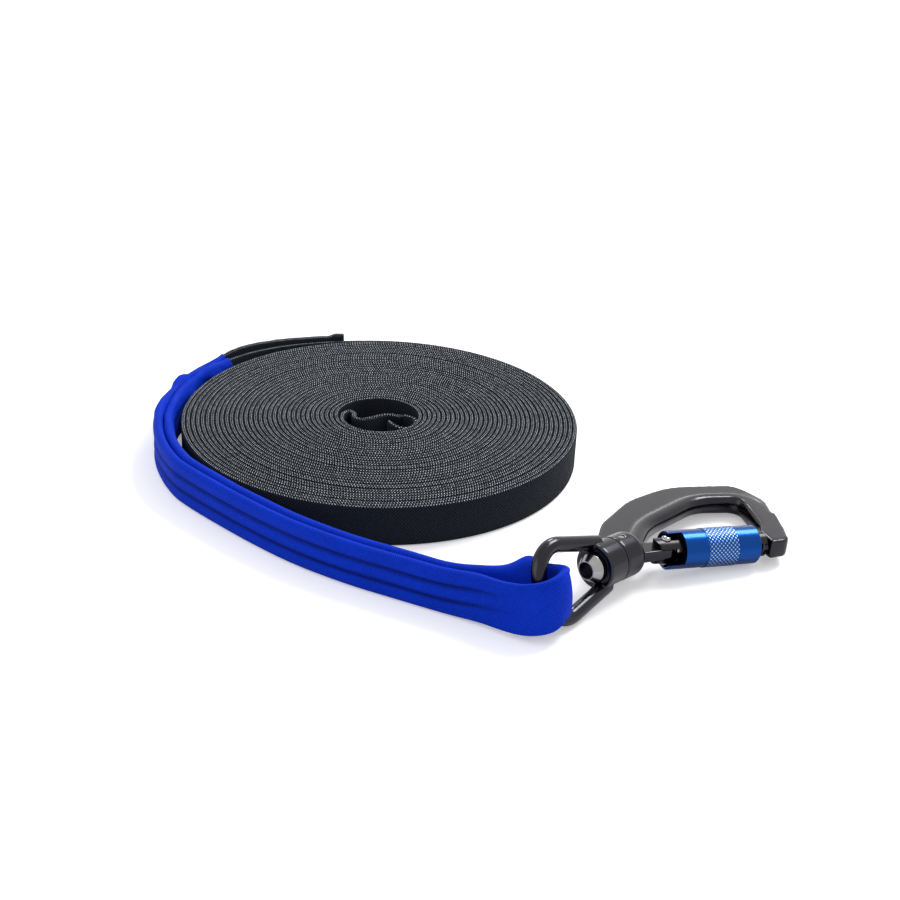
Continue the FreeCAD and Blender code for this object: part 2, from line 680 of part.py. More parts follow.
def guide_place(inner):
    """Placement of the guide pin, square to the gate, on the spine side."""
    return GATE.multiply(Placement(Vector(guide_along(), inner, 0),
                                   Rotation(Vector(1, 0, 0), -90)))


def clip_groove():
    start = size("clip_start")
    arm = size("gate_diameter") / 2
    depth = size("clip_groove_depth")
    last = start + size("clip_thickness")
    return turned("clip_seat", [(start, arm - depth), (start, arm + 2), (last, arm + 2),
                                (last, arm - depth)], GATE)


def spring(name, label, radius, turns, start, length, wire):
    """Round-wire coil spring about the gate's axis."""
    helix = Part.makeHelix(length / turns, length, radius)
    section = Part.Wire(Part.makeCircle(wire, Vector(radius, 0, 0), Vector(0, 1, 0)))
    coil = Part.Wire(helix).makePipeShell([section], True, True)
    return node(feature(name, coil, GATE.multiply(along_x(start))), label)


def build_sleeve():
    """Locking sleeve with its knurled band, end ring, slider, spring, clip and guide pin."""
    long = size("lock_sleeve_length")
    outer = size("lock_sleeve_diameter") / 2
    bore = size("lock_sleeve_bore") / 2
    arm = size("gate_diameter") / 2
    first = size("knurl_start")
    last = first + size("knurl_length")
    rise = size("knurl_height")
    shell = turned("sleeve_shell", [(0, bore), (0, outer, 0.5), (first, outer),
                                    (first + rise, outer + rise), (last - rise, outer + rise),
                                    (last, outer), (long, outer, 0.8), (long, bore)], GATE)
    turn = Rotation(Vector(1, 0, 0), -size("mouth_tilt"))
    mouth = box("sleeve_mouth", "Sizes.mouth_depth + 1", "Sizes.lock_sleeve_diameter",
                "Sizes.mouth_width",
                GATE.multiply(Placement(Vector(), turn)).multiply(
                    at(-1, -size("lock_sleeve_diameter") - 3, -size("mouth_width") / 2)))
    node(cut("sleeve", shell, mouth), "lock_sleeve")
    ring_node("end_ring", "sleeve_end_ring", arm + 0.3, bore, long - size("end_ring_length"),
              long - 0.3, GATE)
    near = size("slider_start")
    tail = near + size("slider_length")
    ring = turned("slider_ring", [(near, arm + 0.2), (near, bore - 0.2, 0.3),
                                  (tail, bore - 0.2, 0.3), (tail, arm + 0.2)], GATE)
    reach = size("guide_pin_diameter") / 2 + size("guide_gap")
    notch = box("slider_slot", "Sizes.guide_pin_diameter + 2 * Sizes.guide_gap + Sizes.slide_travel",
                "Sizes.lock_sleeve_diameter", "Sizes.guide_pin_diameter + Sizes.guide_gap",
                GATE.multiply(at(guide_along() - reach - size("slide_travel"), 0,
                                 -(size("guide_pin_diameter") + size("guide_gap")) / 2)))
    node(cut("slider", ring, notch), "sleeve_slider")
    inner = size("plunger_diameter") / 2 + 0.2
    node(cylinder("guide", "Sizes.guide_pin_diameter / 2",
                  "Sizes.lock_sleeve_bore / 2 - Sizes.plunger_diameter / 2 - 0.6",
                  guide_place(inner)), "guide_pin")
    wire = size("sleeve_spring_wire") / 2
    first_coil = tail + wire + 0.1
    last_coil = size("clip_start") - wire - 0.1
    spring("sleeve_coil", "sleeve_spring", (arm + bore) / 2, 8, first_coil,
           last_coil - first_coil, wire)
    start = size("clip_start")
    ring_node("clip", "sleeve_clip", arm - size("clip_groove_depth"), bore - 0.4, start,
              start + size("clip_thickness"), GATE)


build_line()
build_bail()
build_pin()
build_hook()
build_gate()
build_sleeve()
doc.recompute()

for obj in doc.Objects:
    if "Invalid" in obj.State or "Error" in obj.State:
        raise RuntimeError("object failed: %s %s" % (obj.Name, obj.State))
os.makedirs("parts", exist_ok=True)
for obj in NODES:
    shape = obj.Shape
    if shape.isNull() or not shape.isValid() or not shape.Solids:
        raise RuntimeError("bad shape: %s" % obj.Label)
for obj in NODES:
    box_of = obj.Shape.BoundBox
    print("%-16s solids %d volume %9.1f  x %7.1f %7.1f  y %7.1f %7.1f  z %6.2f %6.2f" % (
        obj.Label, len(obj.Shape.Solids), obj.Shape.Volume, box_of.XMin, box_of.XMax,
        box_of.YMin, box_of.YMax, box_of.ZMin, box_of.ZMax))
    obj.Shape.exportStep("parts/%s.step" % obj.Label)
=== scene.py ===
import json
import logging
import math
from collections.abc import Callable, Sequence
from dataclasses import dataclass, field
from enum import Enum

import bpy
from mathutils import Matrix, Vector, noise


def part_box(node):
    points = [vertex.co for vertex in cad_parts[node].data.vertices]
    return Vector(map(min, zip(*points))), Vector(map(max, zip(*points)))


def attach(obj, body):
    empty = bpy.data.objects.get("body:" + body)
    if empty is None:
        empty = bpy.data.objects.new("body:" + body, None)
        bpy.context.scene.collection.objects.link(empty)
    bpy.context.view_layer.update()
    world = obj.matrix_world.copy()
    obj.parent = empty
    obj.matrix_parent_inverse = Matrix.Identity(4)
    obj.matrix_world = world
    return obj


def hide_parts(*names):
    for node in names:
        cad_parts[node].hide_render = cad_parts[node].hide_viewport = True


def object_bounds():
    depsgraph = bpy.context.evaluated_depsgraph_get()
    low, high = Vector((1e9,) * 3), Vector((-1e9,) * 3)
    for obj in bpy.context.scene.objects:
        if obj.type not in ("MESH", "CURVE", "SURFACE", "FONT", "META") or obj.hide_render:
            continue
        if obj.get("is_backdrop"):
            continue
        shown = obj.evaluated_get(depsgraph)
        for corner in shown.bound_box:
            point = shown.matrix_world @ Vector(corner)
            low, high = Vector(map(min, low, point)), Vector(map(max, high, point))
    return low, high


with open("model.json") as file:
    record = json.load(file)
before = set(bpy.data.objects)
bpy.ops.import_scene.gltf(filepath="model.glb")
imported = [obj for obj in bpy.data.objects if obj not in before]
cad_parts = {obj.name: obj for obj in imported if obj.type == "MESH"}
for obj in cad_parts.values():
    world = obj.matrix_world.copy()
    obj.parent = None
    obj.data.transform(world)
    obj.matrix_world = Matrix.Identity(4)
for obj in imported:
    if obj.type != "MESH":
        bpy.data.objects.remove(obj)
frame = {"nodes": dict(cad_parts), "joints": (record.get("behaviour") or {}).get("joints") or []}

LOG = logging.getLogger("scene")
MM = 0.001
UP = Vector((0.0, 0.0, 1.0))
Socket = bpy.types.NodeSocket
Section = list[tuple[float, float, float]]


def linear(code: str) -> tuple[float, float, float, float]:
    """Turn an sRGB hex colour into linear light.

    Args:
        code: Six hex digits, with or without a leading #.

    Returns:
        Red, green, blue and an alpha of 1.
    """
    digits = code.lstrip("#")
    parts = [int(digits[k:k + 2], 16) / 255 for k in (0, 2, 4)]
    red, green, blue = (c / 12.92 if c <= 0.04045 else ((c + 0.055) / 1.055) ** 2.4 for c in parts)
    return red, green, blue, 1.0


def smooth(low: float, high: float, value: float) -> float:
    """Ease from 0 at low to 1 at high."""
    share = min(1.0, max(0.0, (value - low) / (high - low)))
    return share * share * (3 - 2 * share)


def joint_named(name: str) -> dict:
    """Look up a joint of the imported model."""
    return next(joint for joint in frame["joints"] if joint["name"] == name)


# ------------------------------------------------------------------- finishes
class Tree:
    """A node tree with one short way to add and join nodes."""

    def __init__(self, tree: bpy.types.NodeTree) -> None:
        """Empty the tree."""
        self.tree = tree
        tree.nodes.clear()

    def add(self, kind: str, inputs: dict | tuple = (), out: int | str = 0, **settings) -> Socket | None:
        """Add a node, set it up and join it.

        Args:
            kind: Blender's node type, without the ShaderNode prefix.
            inputs: Values or sockets for the inputs, in order or by name or number.
            out: The output that is handed back, by name or number.
            settings: Properties of the node itself.

        Returns:
            The output socket, or None where the node has none.
        """
        node = self.tree.nodes.new("ShaderNode" + kind)
        for name, value in settings.items():
            setattr(node, name, value)
        for key, value in (inputs if isinstance(inputs, dict) else dict(enumerate(inputs))).items():
            if isinstance(value, Socket):
                self.tree.links.new(value, node.inputs[key])
            else:
                node.inputs[key].default_value = value
        return node.outputs[out] if node.outputs else None


@dataclass(frozen=True)
class Finish:
    """A finish's name and the fixed numbers of its shader."""

    name: str
    roughness: float
    metallic: float = 0.0
    coat: float = 0.0
    coat_roughness: float = 0.1
    sheen: float = 0.0
    anisotropy: float = 0.0
    specular: float = 0.5

    def start(self) -> tuple[bpy.types.Material, Tree]:
        """Make an empty node material with this name."""
        material = bpy.data.materials.new(self.name)
        material.use_nodes = True
        return material, Tree(material.node_tree)

    def close(self, tree: Tree, colour: Socket, roughness: Socket | None = None,
              height: Socket | None = None, depth: float = 0.0) -> None:
        """End a material's tree with its shader.

        Args:
            tree: The tree to end.
            colour: The base colour.
            roughness: Replaces the finish's number.
            height: From 0 to 1, raises the surface.
            depth: How far it is raised, in metres.
        """
        inputs = {
            "Base Color": colour,
            "Roughness": self.roughness if roughness is None else roughness,
            "Metallic": self.metallic,
            "Coat Weight": self.coat,
            "Coat Roughness": self.coat_roughness,
            "Sheen Weight": self.sheen,
            "Anisotropic": self.anisotropy,
            "Specular IOR Level": self.specular,
        }
        if height is not None:
            inputs["Normal"] = tree.add("Bump", {"Height": height, "Distance": depth, "Strength": 1.0})
        tree.add("OutputMaterial", {"Surface": tree.add("BsdfPrincipled", inputs)})


def lattice(tree: Tree, along: Socket, across: Socket, pitch_along: float, pitch_across: float) -> Socket:
    """Make the staggered bumps that threads or knurls leave.

    Args:
        tree: The tree to add to.
        along: Place along the surface, in metres.
        across: Place across it, in metres.
        pitch_along: Half the spacing of the bumps in a row.
        pitch_across: Spacing of the rows.

    Returns:
        A height from 0 to 1.
    """
    scaled = [tree.add("Math", (place, math.pi / pitch), operation="MULTIPLY")
              for place, pitch in ((along, pitch_along), (across, pitch_across))]
    waves = tuple(tree.add("Math", (value,), operation="SINE") for value in scaled)
    product = tree.add("Math", waves, operation="MULTIPLY")
    return tree.add("Math", (product, 0.5, 0.5), operation="MULTIPLY_ADD")


@dataclass(frozen=True)
class WovenWebbing(Finish):
    """Black nylon webbing, woven flat on a shuttleless loom.

    The eye gets two rows of beads on each selvedge, with painted highlights on their tops, and a dull twill on
    the faces.

    Attributes:
        crown: Girth from the section's first point to the crown of its upper selvedge.
        bead_pitch: Half the spacing of a row's beads, and the spacing of the rows.
        twill_pitch: The same of the twill.
        fleck: Size of the patches in which the beads' painted highlights are stronger or weaker.
        cloud: Size of the paler and darker stretches.
        turned_up: How far a surface looks up where the beads and their painted highlights start and are full.
        bead_top: Heights of a bead at which its painted highlight starts and is full.
    """

    name: str = "woven_black_nylon"
    roughness: float = 0.75
    specular: float = 0.1
    crown: float = 0.0
    bead_pitch: tuple[float, float] = (0.85 * MM, 1.2 * MM)
    # The twill is really 0.8 mm; it is drawn a little coarser so that it shows.
    twill_pitch: tuple[float, float] = (1.0 * MM, 1.1 * MM)
    fleck: float = 1.43 * MM
    cloud: float = 38.5 * MM
    turned_up: tuple[float, float] = (0.5, 0.88)
    bead_top: tuple[float, float] = (0.75, 0.88)
    shadow: str = "#030406"
    ground: str = "#090b0f"
    thread: str = "#2f3641"
    # Painted highlight: near-white laid on the beads' tops in place of the light they catch.
    painted_bead_highlight: str = "#e6edf6"

    def material(self) -> bpy.types.Material:
        """Make the material, laid out on the strap's length and girth.

        Returns:
            The material.
        """
        material, tree = self.start()
        uv = tree.add("UVMap", uv_map="strap")
        along, across = (tree.add("SeparateXYZ", (uv,), out=k) for k in (0, 1))
        normal = tree.add("NewGeometry", out="Normal")
        upward = tree.add("VectorMath", (normal, tuple(UP)), out="Value", operation="DOT_PRODUCT")
        facing = tree.add("Math", (upward,), operation="ABSOLUTE")
        edge = tree.add("MapRange", (facing, *self.turned_up))
        # Two rows of beads stand either side of the selvedge's crown.
        from_crown = tree.add("Math", (across, self.crown), operation="SUBTRACT")
        beads = lattice(tree, along, from_crown, *self.bead_pitch)
        twill = lattice(tree, along, across, *self.twill_pitch)
        where = tree.add("TexCoord", out="Object")
        uneven = tree.add("TexNoise", {"Vector": where, "Scale": 1 / self.fleck, "Detail": 2.0})
        wide = tree.add("TexNoise", {"Vector": where, "Scale": 1 / self.cloud, "Detail": 2.0})
        # Painted highlight: the beads' tops go near-white in patches where the surface looks up.
        lit = tree.add("MapRange", (beads, *self.bead_top))
        spark = tree.add("MapRange", (uneven, 0.35, 0.6, 0.3, 1.0))
        lit = tree.add("Math", (lit, spark), operation="MULTIPLY")
        lit = tree.add("Math", (lit, edge), operation="MULTIPLY")
        ground = tree.add("Mix", {0: wide, 6: linear(self.shadow), 7: linear(self.ground)}, out=2,
                          data_type="RGBA")
        # The twill shows on the faces and fades out on the selvedges.
        faded = tree.add("Math", (edge, 0.58), operation="MULTIPLY")
        share = tree.add("Math", (0.62, faded), operation="SUBTRACT")
        woven = tree.add("Math", (twill, share), operation="MULTIPLY")
        face = tree.add("Mix", {0: woven, 6: ground, 7: linear(self.thread)}, out=2, data_type="RGBA")
        colour = tree.add("Mix", {0: lit, 6: face, 7: linear(self.painted_bead_highlight)}, out=2, data_type="RGBA")
        height = tree.add("Mix", {0: edge, 6: twill, 7: beads}, out=2, data_type="RGBA")
        self.close(tree, colour, height=height, depth=0.4 * MM)
        return material


@dataclass(frozen=True)
class TubularSleeve(Finish):
    """Royal blue nylon, woven as a thin tube and dyed.

    The eye gets a deep even blue, fine ribs with painted highlights on their crests, and creases darkened to
    near-black with painted shade.

    Attributes:
        rib_pitch: Half the spacing of a rib's stitches, and the spacing of the ribs.
        fleck: Size of the patches in which the ribs' painted highlights are stronger or weaker.
        cloud: Size of the paler and darker stretches.
    """

    name: str = "tubular_blue_nylon"
    roughness: float = 0.62
    specular: float = 0.07
    # Ribs are really 0.5 mm apart; they are drawn a little coarser so that they show.
    rib_pitch: tuple[float, float] = (0.6 * MM, 0.9 * MM)
    fleck: float = 1.43 * MM
    cloud: float = 25 * MM
    shadow: str = "#001a88"
    ground: str = "#0027b2"
    # Painted highlight: the lighter blue laid on the rib crests.
    painted_rib_highlight: str = "#0052ff"
    # Painted shade: the near-black laid in the channels between the padded bands.
    crease_shade: str = "#000830"

    def material(self) -> bpy.types.Material:
        """Make the material, laid out on the strap's length and girth.

        Returns:
            The material.
        """
        material, tree = self.start()
        uv = tree.add("UVMap", uv_map="strap")
        along, across = (tree.add("SeparateXYZ", (uv,), out=k) for k in (0, 1))
        crease_shade = tree.add("Attribute", out="Fac", attribute_name="crease_shade")
        ribs = lattice(tree, along, across, *self.rib_pitch)
        where = tree.add("TexCoord", out="Object")
        uneven = tree.add("TexNoise", {"Vector": where, "Scale": 1 / self.fleck, "Detail": 2.0})
        wide = tree.add("TexNoise", {"Vector": where, "Scale": 1 / self.cloud, "Detail": 3.0})
        # Painted highlight: the rib crests are lightened, more in some patches than others.
        crests = tree.add("Math", (ribs, 2.0), operation="POWER")
        uneven = tree.add("Math", (uneven, 0.1), operation="ADD")
        bright = tree.add("Math", (crests, uneven), operation="MULTIPLY")
        ground = tree.add("Mix", {0: wide, 6: linear(self.shadow), 7: linear(self.ground)}, out=2,
                          data_type="RGBA")
        colour = tree.add("Mix", {0: bright, 6: ground, 7: linear(self.painted_rib_highlight)}, out=2, data_type="RGBA")
        # Painted shade: the channels between the padded bands are darkened almost to near-black.
        dark = tree.add("Math", (crease_shade, 0.88), operation="MULTIPLY")
        colour = tree.add("Mix", {0: dark, 6: colour, 7: linear(self.crease_shade)}, out=2, data_type="RGBA")
        self.close(tree, colour, height=ribs, depth=0.2 * MM)
        return material


@dataclass(frozen=True)
class TumbledForging(Finish):
    """Gunmetal anodised aluminium, forged and tumbled.

    The eye gets a dark satin skin with cloudy tone, fine marks and paler worn edges.

    Attributes:
        grit: Size of the marks that the tumbling stones leave.
        cloud: Size of the paler and darker patches.
    """

    name: str = "tumbled_gunmetal_anodising"
    roughness: float = 0.25
    metallic: float = 1.0
    coat: float = 0.3
    grit: float = 0.385 * MM
    cloud: float = 18.2 * MM
    shadow: str = "#1c1c21"
    ground: str = "#2a2a30"
    worn: str = "#66656b"

    def material(self) -> bpy.types.Material:
        """Make the material.

        Returns:
            The material.
        """
        material, tree = self.start()
        where = tree.add("TexCoord", out="Object")
        fine = tree.add("TexNoise", {"Vector": where, "Scale": 1 / self.grit, "Detail": 2.0})
        cloud = tree.add("TexNoise", {"Vector": where, "Scale": 1 / self.cloud, "Detail": 4.0})
        edge = tree.add("NewGeometry", out="Pointiness")
        wear = tree.add("MapRange", (edge, 0.50, 0.60))
        wear = tree.add("Math", (wear, 0.35), operation="MULTIPLY")
        colour = tree.add("Mix", {0: cloud, 6: linear(self.shadow), 7: linear(self.ground)}, out=2,
                          data_type="RGBA")
        colour = tree.add("Mix", {0: wear, 6: colour, 7: linear(self.worn)}, out=2, data_type="RGBA")
        rough = tree.add("Math", (fine, 0.10, 0.17), operation="MULTIPLY_ADD")
        self.close(tree, colour, roughness=rough, height=fine, depth=0.006 * MM)
        return material


@dataclass(frozen=True)
class KnurledAlloy(Finish):
    """Blue anodised aluminium, turned and then knurled round its middle.

    The eye gets fine turning lines, a bright metallic blue and a band of diamond peaks with painted pale
    highlights.

    Attributes:
        radius: Outside radius of the turned sleeve.
        diamonds: Rows of diamonds round the sleeve.
        band: Where the knurling starts and ends, along the gate from its hinge.
        feed: Spacing of the turning lines.
    """

    name: str = "turned_blue_anodising"
    roughness: float = 0.28
    metallic: float = 1.0
    coat: float = 0.2
    radius: float = 10.9 * MM
    diamonds: int = 28
    band: tuple[float, float] = (22.8 * MM, 41.2 * MM)
    feed: float = 0.192 * MM
    shadow: str = "#00357c"
    ground: str = "#004694"
    # Painted highlight: the pale colour laid on the knurl's diamond peaks.
    peak: str = "#c8ecff"

    def material(self) -> bpy.types.Material:
        """Make the material, laid out round the lock sleeve's own axis.

        Returns:
            The material.
        """
        turn = joint_named("sleeve_turn")
        axis = Vector(turn["axis"]).normalized()
        first = Vector(joint_named("gate_open")["axis"]).normalized()
        second = axis.cross(first)
        material, tree = self.start()
        where = tree.add("TexCoord", out="Object")
        local = tree.add("VectorMath", (where, tuple(turn["pos_m"])), operation="SUBTRACT")
        along, left, right = (tree.add("VectorMath", (local, tuple(way)), out="Value", operation="DOT_PRODUCT")
                              for way in (axis, second, first))
        angle = tree.add("Math", (left, right), operation="ARCTAN2")
        round_it = tree.add("Math", (angle, self.radius), operation="MULTIPLY")
        pitch = math.pi * self.radius / self.diamonds
        knurl = lattice(tree, along, round_it, pitch, pitch)
        band = tree.add("Math", (tree.add("Math", (along, self.band[0]), operation="GREATER_THAN"),
                                 tree.add("Math", (along, self.band[1]), operation="LESS_THAN")),
                        operation="MULTIPLY")
        line_place = tree.add("CombineXYZ", (along,))
        lines = tree.add("TexNoise", {"Vector": line_place, "Scale": 1 / self.feed, "Detail": 2.0})
        colour = tree.add("Mix", {0: lines, 6: linear(self.shadow), 7: linear(self.ground)}, out=2,
                          data_type="RGBA")
        # Painted highlight: the diamond peaks in the knurled band are paled towards near-white.
        painted_peak_highlight = tree.add("Math", (tree.add("Math", (knurl, 5.0), operation="POWER"), band),
                         operation="MULTIPLY")
        painted_peak_highlight = tree.add("Math", (painted_peak_highlight, 0.9), operation="MULTIPLY")
        colour = tree.add("Mix", {0: painted_peak_highlight, 6: colour, 7: linear(self.peak)}, out=2, data_type="RGBA")
        rough = tree.add("Math", (lines, 0.12, 0.22), operation="MULTIPLY_ADD")
        height = tree.add("Math", (knurl, band), operation="MULTIPLY")
        self.close(tree, colour, roughness=rough, height=height, depth=0.28 * MM)
        return material


@dataclass(frozen=True)
class SmallPartFinish(Finish):
    """A plain finish of a small part.

    The eye gets faint clouds of tone, and fine marks in the gloss and the surface.

    Attributes:
        grit: Size of the fine marks.
        cloud: Size of the clouds.
    """

    grit: float = 0.556 * MM
    cloud: float = 6.25 * MM
    light: str = "#808080"
    dark: str = "#606060"

    def material(self) -> bpy.types.Material:
        """Make the material.

        Returns:
            The material.
        """
        material, tree = self.start()
        where = tree.add("TexCoord", out="Object")
        marks = tree.add("TexNoise", {"Vector": where, "Scale": 1 / self.grit, "Detail": 3.0})
        cloud = tree.add("TexNoise", {"Vector": where, "Scale": 1 / self.cloud, "Detail": 2.0})
        colour = tree.add("Mix", {0: cloud, 6: linear(self.dark), 7: linear(self.light)}, out=2,
                          data_type="RGBA")
        rough = tree.add("Math", (marks, 0.14, self.roughness - 0.07), operation="MULTIPLY_ADD")
        self.close(tree, colour, roughness=rough, height=marks, depth=0.012 * MM)
        return material


class SmallPart(Enum):
    """Finishes of the small parts."""

    # Stainless steel, turned and polished: a clear, pale mirror.
    POLISHED_STEEL = SmallPartFinish("polished_steel", 0.2, 1.0, light="#a9a8a8", dark="#8f8e90")
    # Stainless steel as turned: streaky and a little duller.
    TURNED_STEEL = SmallPartFinish("turned_steel", 0.3, 1.0, anisotropy=0.3, light="#a9a7a5", dark="#8c8a89")
    # Drawn spring wire: bright and smooth.
    DRAWN_WIRE = SmallPartFinish("drawn_spring_wire", 0.26, 1.0, light="#9a9896", dark="#7f7d7c")
    # Aluminium gate, turned and black anodised: a dark metal with soft gloss.
    BLACK_ANODISING = SmallPartFinish("turned_black_anodising", 0.27, 1.0, light="#3a3839", dark="#2a2829")
    # Blackened steel washers: near black and satin.
    BLACKENED_STEEL = SmallPartFinish("blackened_steel", 0.35, 1.0, light="#26262a", dark="#1a1a1d")
    # Sintered bronze bush: warm and dull.
    SINTERED_BRONZE = SmallPartFinish("sintered_bronze", 0.38, 1.0, light="#b98a4a", dark="#8a6431")
    # Moulded acetal slider: black with a low gloss.
    MOULDED_ACETAL = SmallPartFinish("moulded_acetal", 0.45, light="#1b1b1d", dark="#101012")
    # Moulded rubber seal: matt black.
    MOULDED_RUBBER = SmallPartFinish("moulded_rubber", 0.7, light="#151517", dark="#0d0d0e")
    # Twisted polyester thread: black, with a soft sheen.
    TWISTED_THREAD = SmallPartFinish("twisted_thread", 0.75, sheen=0.3, light="#26272b", dark="#131417")


# ----------------------------------------------------------------- strap path
@dataclass
class Station:
    """One cross-section's place on the strap.

    Attributes:
        centre: Middle of the section.
        wide: Unit vector up the strap's width.
        deep: Unit vector through its thickness.
        along: Length of strap up to here.
        near_bar: 1 on the bend round the bar, 0 far from it.
        flare: How far the section's upper edge is lifted along -deep.
        front: 1 on the returning leg's side of the bar, 0 on the other side.
        sewn: How much thicker the strap is where its end is folded and sewn.
    """

    centre: Vector
    wide: Vector
    deep: Vector
    along: float
    near_bar: float = 0.0
    flare: float = 0.0
    front: float = 0.0
    sewn: float = 0.0

    @property
    def angle(self) -> float:
        """Angle about the coil's middle, in degrees from 0 to 360."""
        return math.degrees(math.atan2(self.centre.y, self.centre.x)) % 360

    def point(self, wide: float, deep: float) -> Vector:
        """Place a point of the section, whose edges the flare bends away."""
        full_flare, lower_share = 13.5 * MM, 0.35
        lift = self.flare * (wide / full_flare) ** 2 * (1.0 if wide > 0 else lower_share)
        return self.centre + self.wide * wide + self.deep * (deep - lift)


def spline(points: Sequence[Vector], step: float) -> list[Vector]:
    """Sample the smooth curve whose control points are given.

    Args:
        points: Control points; the curve starts and ends on the outer two.
        step: Spacing of the samples, about.

    Returns:
        Points from the first control point to the last.
    """
    samples = [points[0].copy()]
    for k in range(1, len(points) - 1):
        start = points[0] if k == 1 else (points[k - 1] + points[k]) / 2
        end = points[-1] if k == len(points) - 2 else (points[k] + points[k + 1]) / 2
        count = max(2, round(((points[k] - start).length + (end - points[k]).length) / step))
        for n in range(1, count + 1):
            share = n / count
            samples.append(start * (1 - share) ** 2 + points[k] * 2 * share * (1 - share) + end * share ** 2)
    return samples


def polar(radius: float, degrees: float, height: float) -> Vector:
    """Point at a radius and an angle about the coil's middle."""
    angle = math.radians(degrees)
    return Vector((radius * math.cos(angle), radius * math.sin(angle), height))


@dataclass
class StrapPath:
    """The webbing's whole path: eye, coil, one leg, the bend round the bar, the other leg.

    Attributes:
        width: Width of the webbing.
        thickness: Its thickness.
        turn_pitch: Spacing of the coil's turns.
        leg_spacing: Distance between the middles of the two legs.
        wrap: Radius of the bend round the bail's bar.
        tail_angle: Angle about the coil at which the sewn end lies.
        coil_end_angle: Angle at which the inner leg leaves the coil's last turn.
        sleeve_angle: Angle at which the sleeve starts.
        leave_angle: Angle at which the legs leave the coil.
        leg_steps: Control points of a leg round the coil.
        route: Plan points midway between the two legs, from the coil to the bail.
        eye_fold: Plan points of the inner end, folded across the eye of the coil.
    """

    width: float = 25 * MM
    thickness: float = 2.8 * MM
    turn_pitch: float = 3.0 * MM
    leg_spacing: float = 6.4 * MM
    wrap: float = 10.1 * MM
    tail_angle: float = 105.0
    coil_end_angle: float = 100.0
    sleeve_angle: float = 144.0
    leave_angle: float = 222.0
    leg_steps: int = 14
    route: tuple[tuple[float, float], ...] = (
        (-0.0484, -0.1380), (-0.0084, -0.1634), (0.0240, -0.1786), (0.0540, -0.1926))
    eye_fold: tuple[tuple[float, float], ...] = (
        (0.0060, -0.0070), (0.0160, -0.0110), (0.0225, -0.0030), (0.0170, 0.0080), (0.0060, 0.0060),
        (-0.0020, -0.0030), (-0.0100, -0.0080), (-0.0165, -0.0045), (-0.0150, 0.0050), (-0.0215, 0.0080),
        (-0.0243, -0.0010))
    marks: dict[str, float] = field(default_factory=dict)

    def __post_init__(self) -> None:
        """Take the places of the coil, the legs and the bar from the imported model."""
        swing = joint_named("bail_swing")
        self.bar_axis = Vector(swing["axis"]).normalized()
        self.bar = Vector(swing["pos_m"]) - self.bar_axis * 0.9 * MM
        self.coil_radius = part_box("webbing_coil")[1][0]
        self.coil_height = self.width / 2 + 0.3 * MM
        self.leg_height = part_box("chafe_sleeve")[0][2] + 13.7 * MM
        (x_from, y_from), (x_to, y_to) = self.route[-2:]
        heading = Vector((x_to - x_from, y_to - y_from, 0.0))
        heading.normalize()
        self.run = (heading - self.bar_axis * heading.dot(self.bar_axis)).normalized()
        self.left = self.bar_axis.cross(self.run)
        self.stations = self.lay()

    def fold(self) -> list[Vector]:
        """Inner end, folded across the eye."""
        height = self.coil_height - 0.5 * MM
        return spline([Vector((x, y, height)) for x, y in self.eye_fold], 1.5 * MM)[:-1]

    def turns(self) -> list[Vector]:
        """The coil's turns, from the eye outward.

        Returns:
            Points about 3 mm apart, closer on the small turns.
        """
        eye_radius, first_turn, longest, widest = 24.5 * MM, 98.0, 3.2 * MM, 0.09
        mid = self.coil_radius - self.thickness / 2
        last = self.coil_end_angle + 360.0 * round((mid - eye_radius) / self.turn_pitch)
        points = []
        angle = self.coil_end_angle + first_turn
        while angle < last:
            radius = mid - self.turn_pitch * (last - angle) / 360.0
            # Turns lie a little unevenly, higher or lower, but none is lifted off the floor.
            drift = noise.noise(Vector((angle / 170.0, 3.1, 0.0))) * 0.45 * MM
            ripple = noise.noise(Vector((angle / 24.0, 7.7, 2.0))) * 0.10 * MM
            points.append(polar(radius + ripple, angle, self.coil_height + drift))
            angle += math.degrees(min(longest / radius, widest))
        return points

    def leg(self, outer: bool) -> list[Vector]:
        """Lay out one leg, from the back of the coil to its side of the bar.

        Args:
            outer: Whether it is the leg that ends in the sewn tail.

        Returns:
            The leg's control points.
        """
        first = self.tail_angle if outer else self.coil_end_angle
        inner = self.coil_radius - self.thickness / 2
        rest = self.coil_radius + 2.6 * MM + 2.8 * MM
        step = (self.leave_angle - first) / self.leg_steps
        points = []
        for k in range(self.leg_steps + 1):
            angle = first + max(0.0, k - 0.5) * step
            share = smooth(first, self.sleeve_angle, angle)
            radius = inner + (rest - inner) * share
            if outer:
                radius += self.thickness + (self.leg_spacing - self.thickness) * share
            height = self.coil_height + (self.leg_height - self.coil_height) * share
            points.append(polar(radius / math.cos(math.radians(step / 2 if k else 0)), angle, height))
        side = -0.5 if outer else 0.5
        middle = [Vector((x, y, self.leg_height)) for x, y in self.route]
        for k, point in enumerate(middle):
            run = (middle[min(k + 1, len(middle) - 1)] - middle[max(k - 1, 0)]).normalized()
            points.append(point + UP.cross(run) * side * self.leg_spacing)
        target = self.bar + self.left * self.wrap * (-1 if outer else 1)
        return points + [target - self.run * 13 * MM, target]

    def bend(self, steps: int = 26) -> list[Vector]:
        """Lay out the half turn round the bar, from the inner leg's side to the outer leg's.

        Args:
            steps: Spans of the half turn.

        Returns:
            Its points, apart from the two ends.
        """
        return [self.bar + self.left * self.wrap * math.cos(math.pi * k / steps)
                + self.run * self.wrap * math.sin(math.pi * k / steps) for k in range(1, steps)]

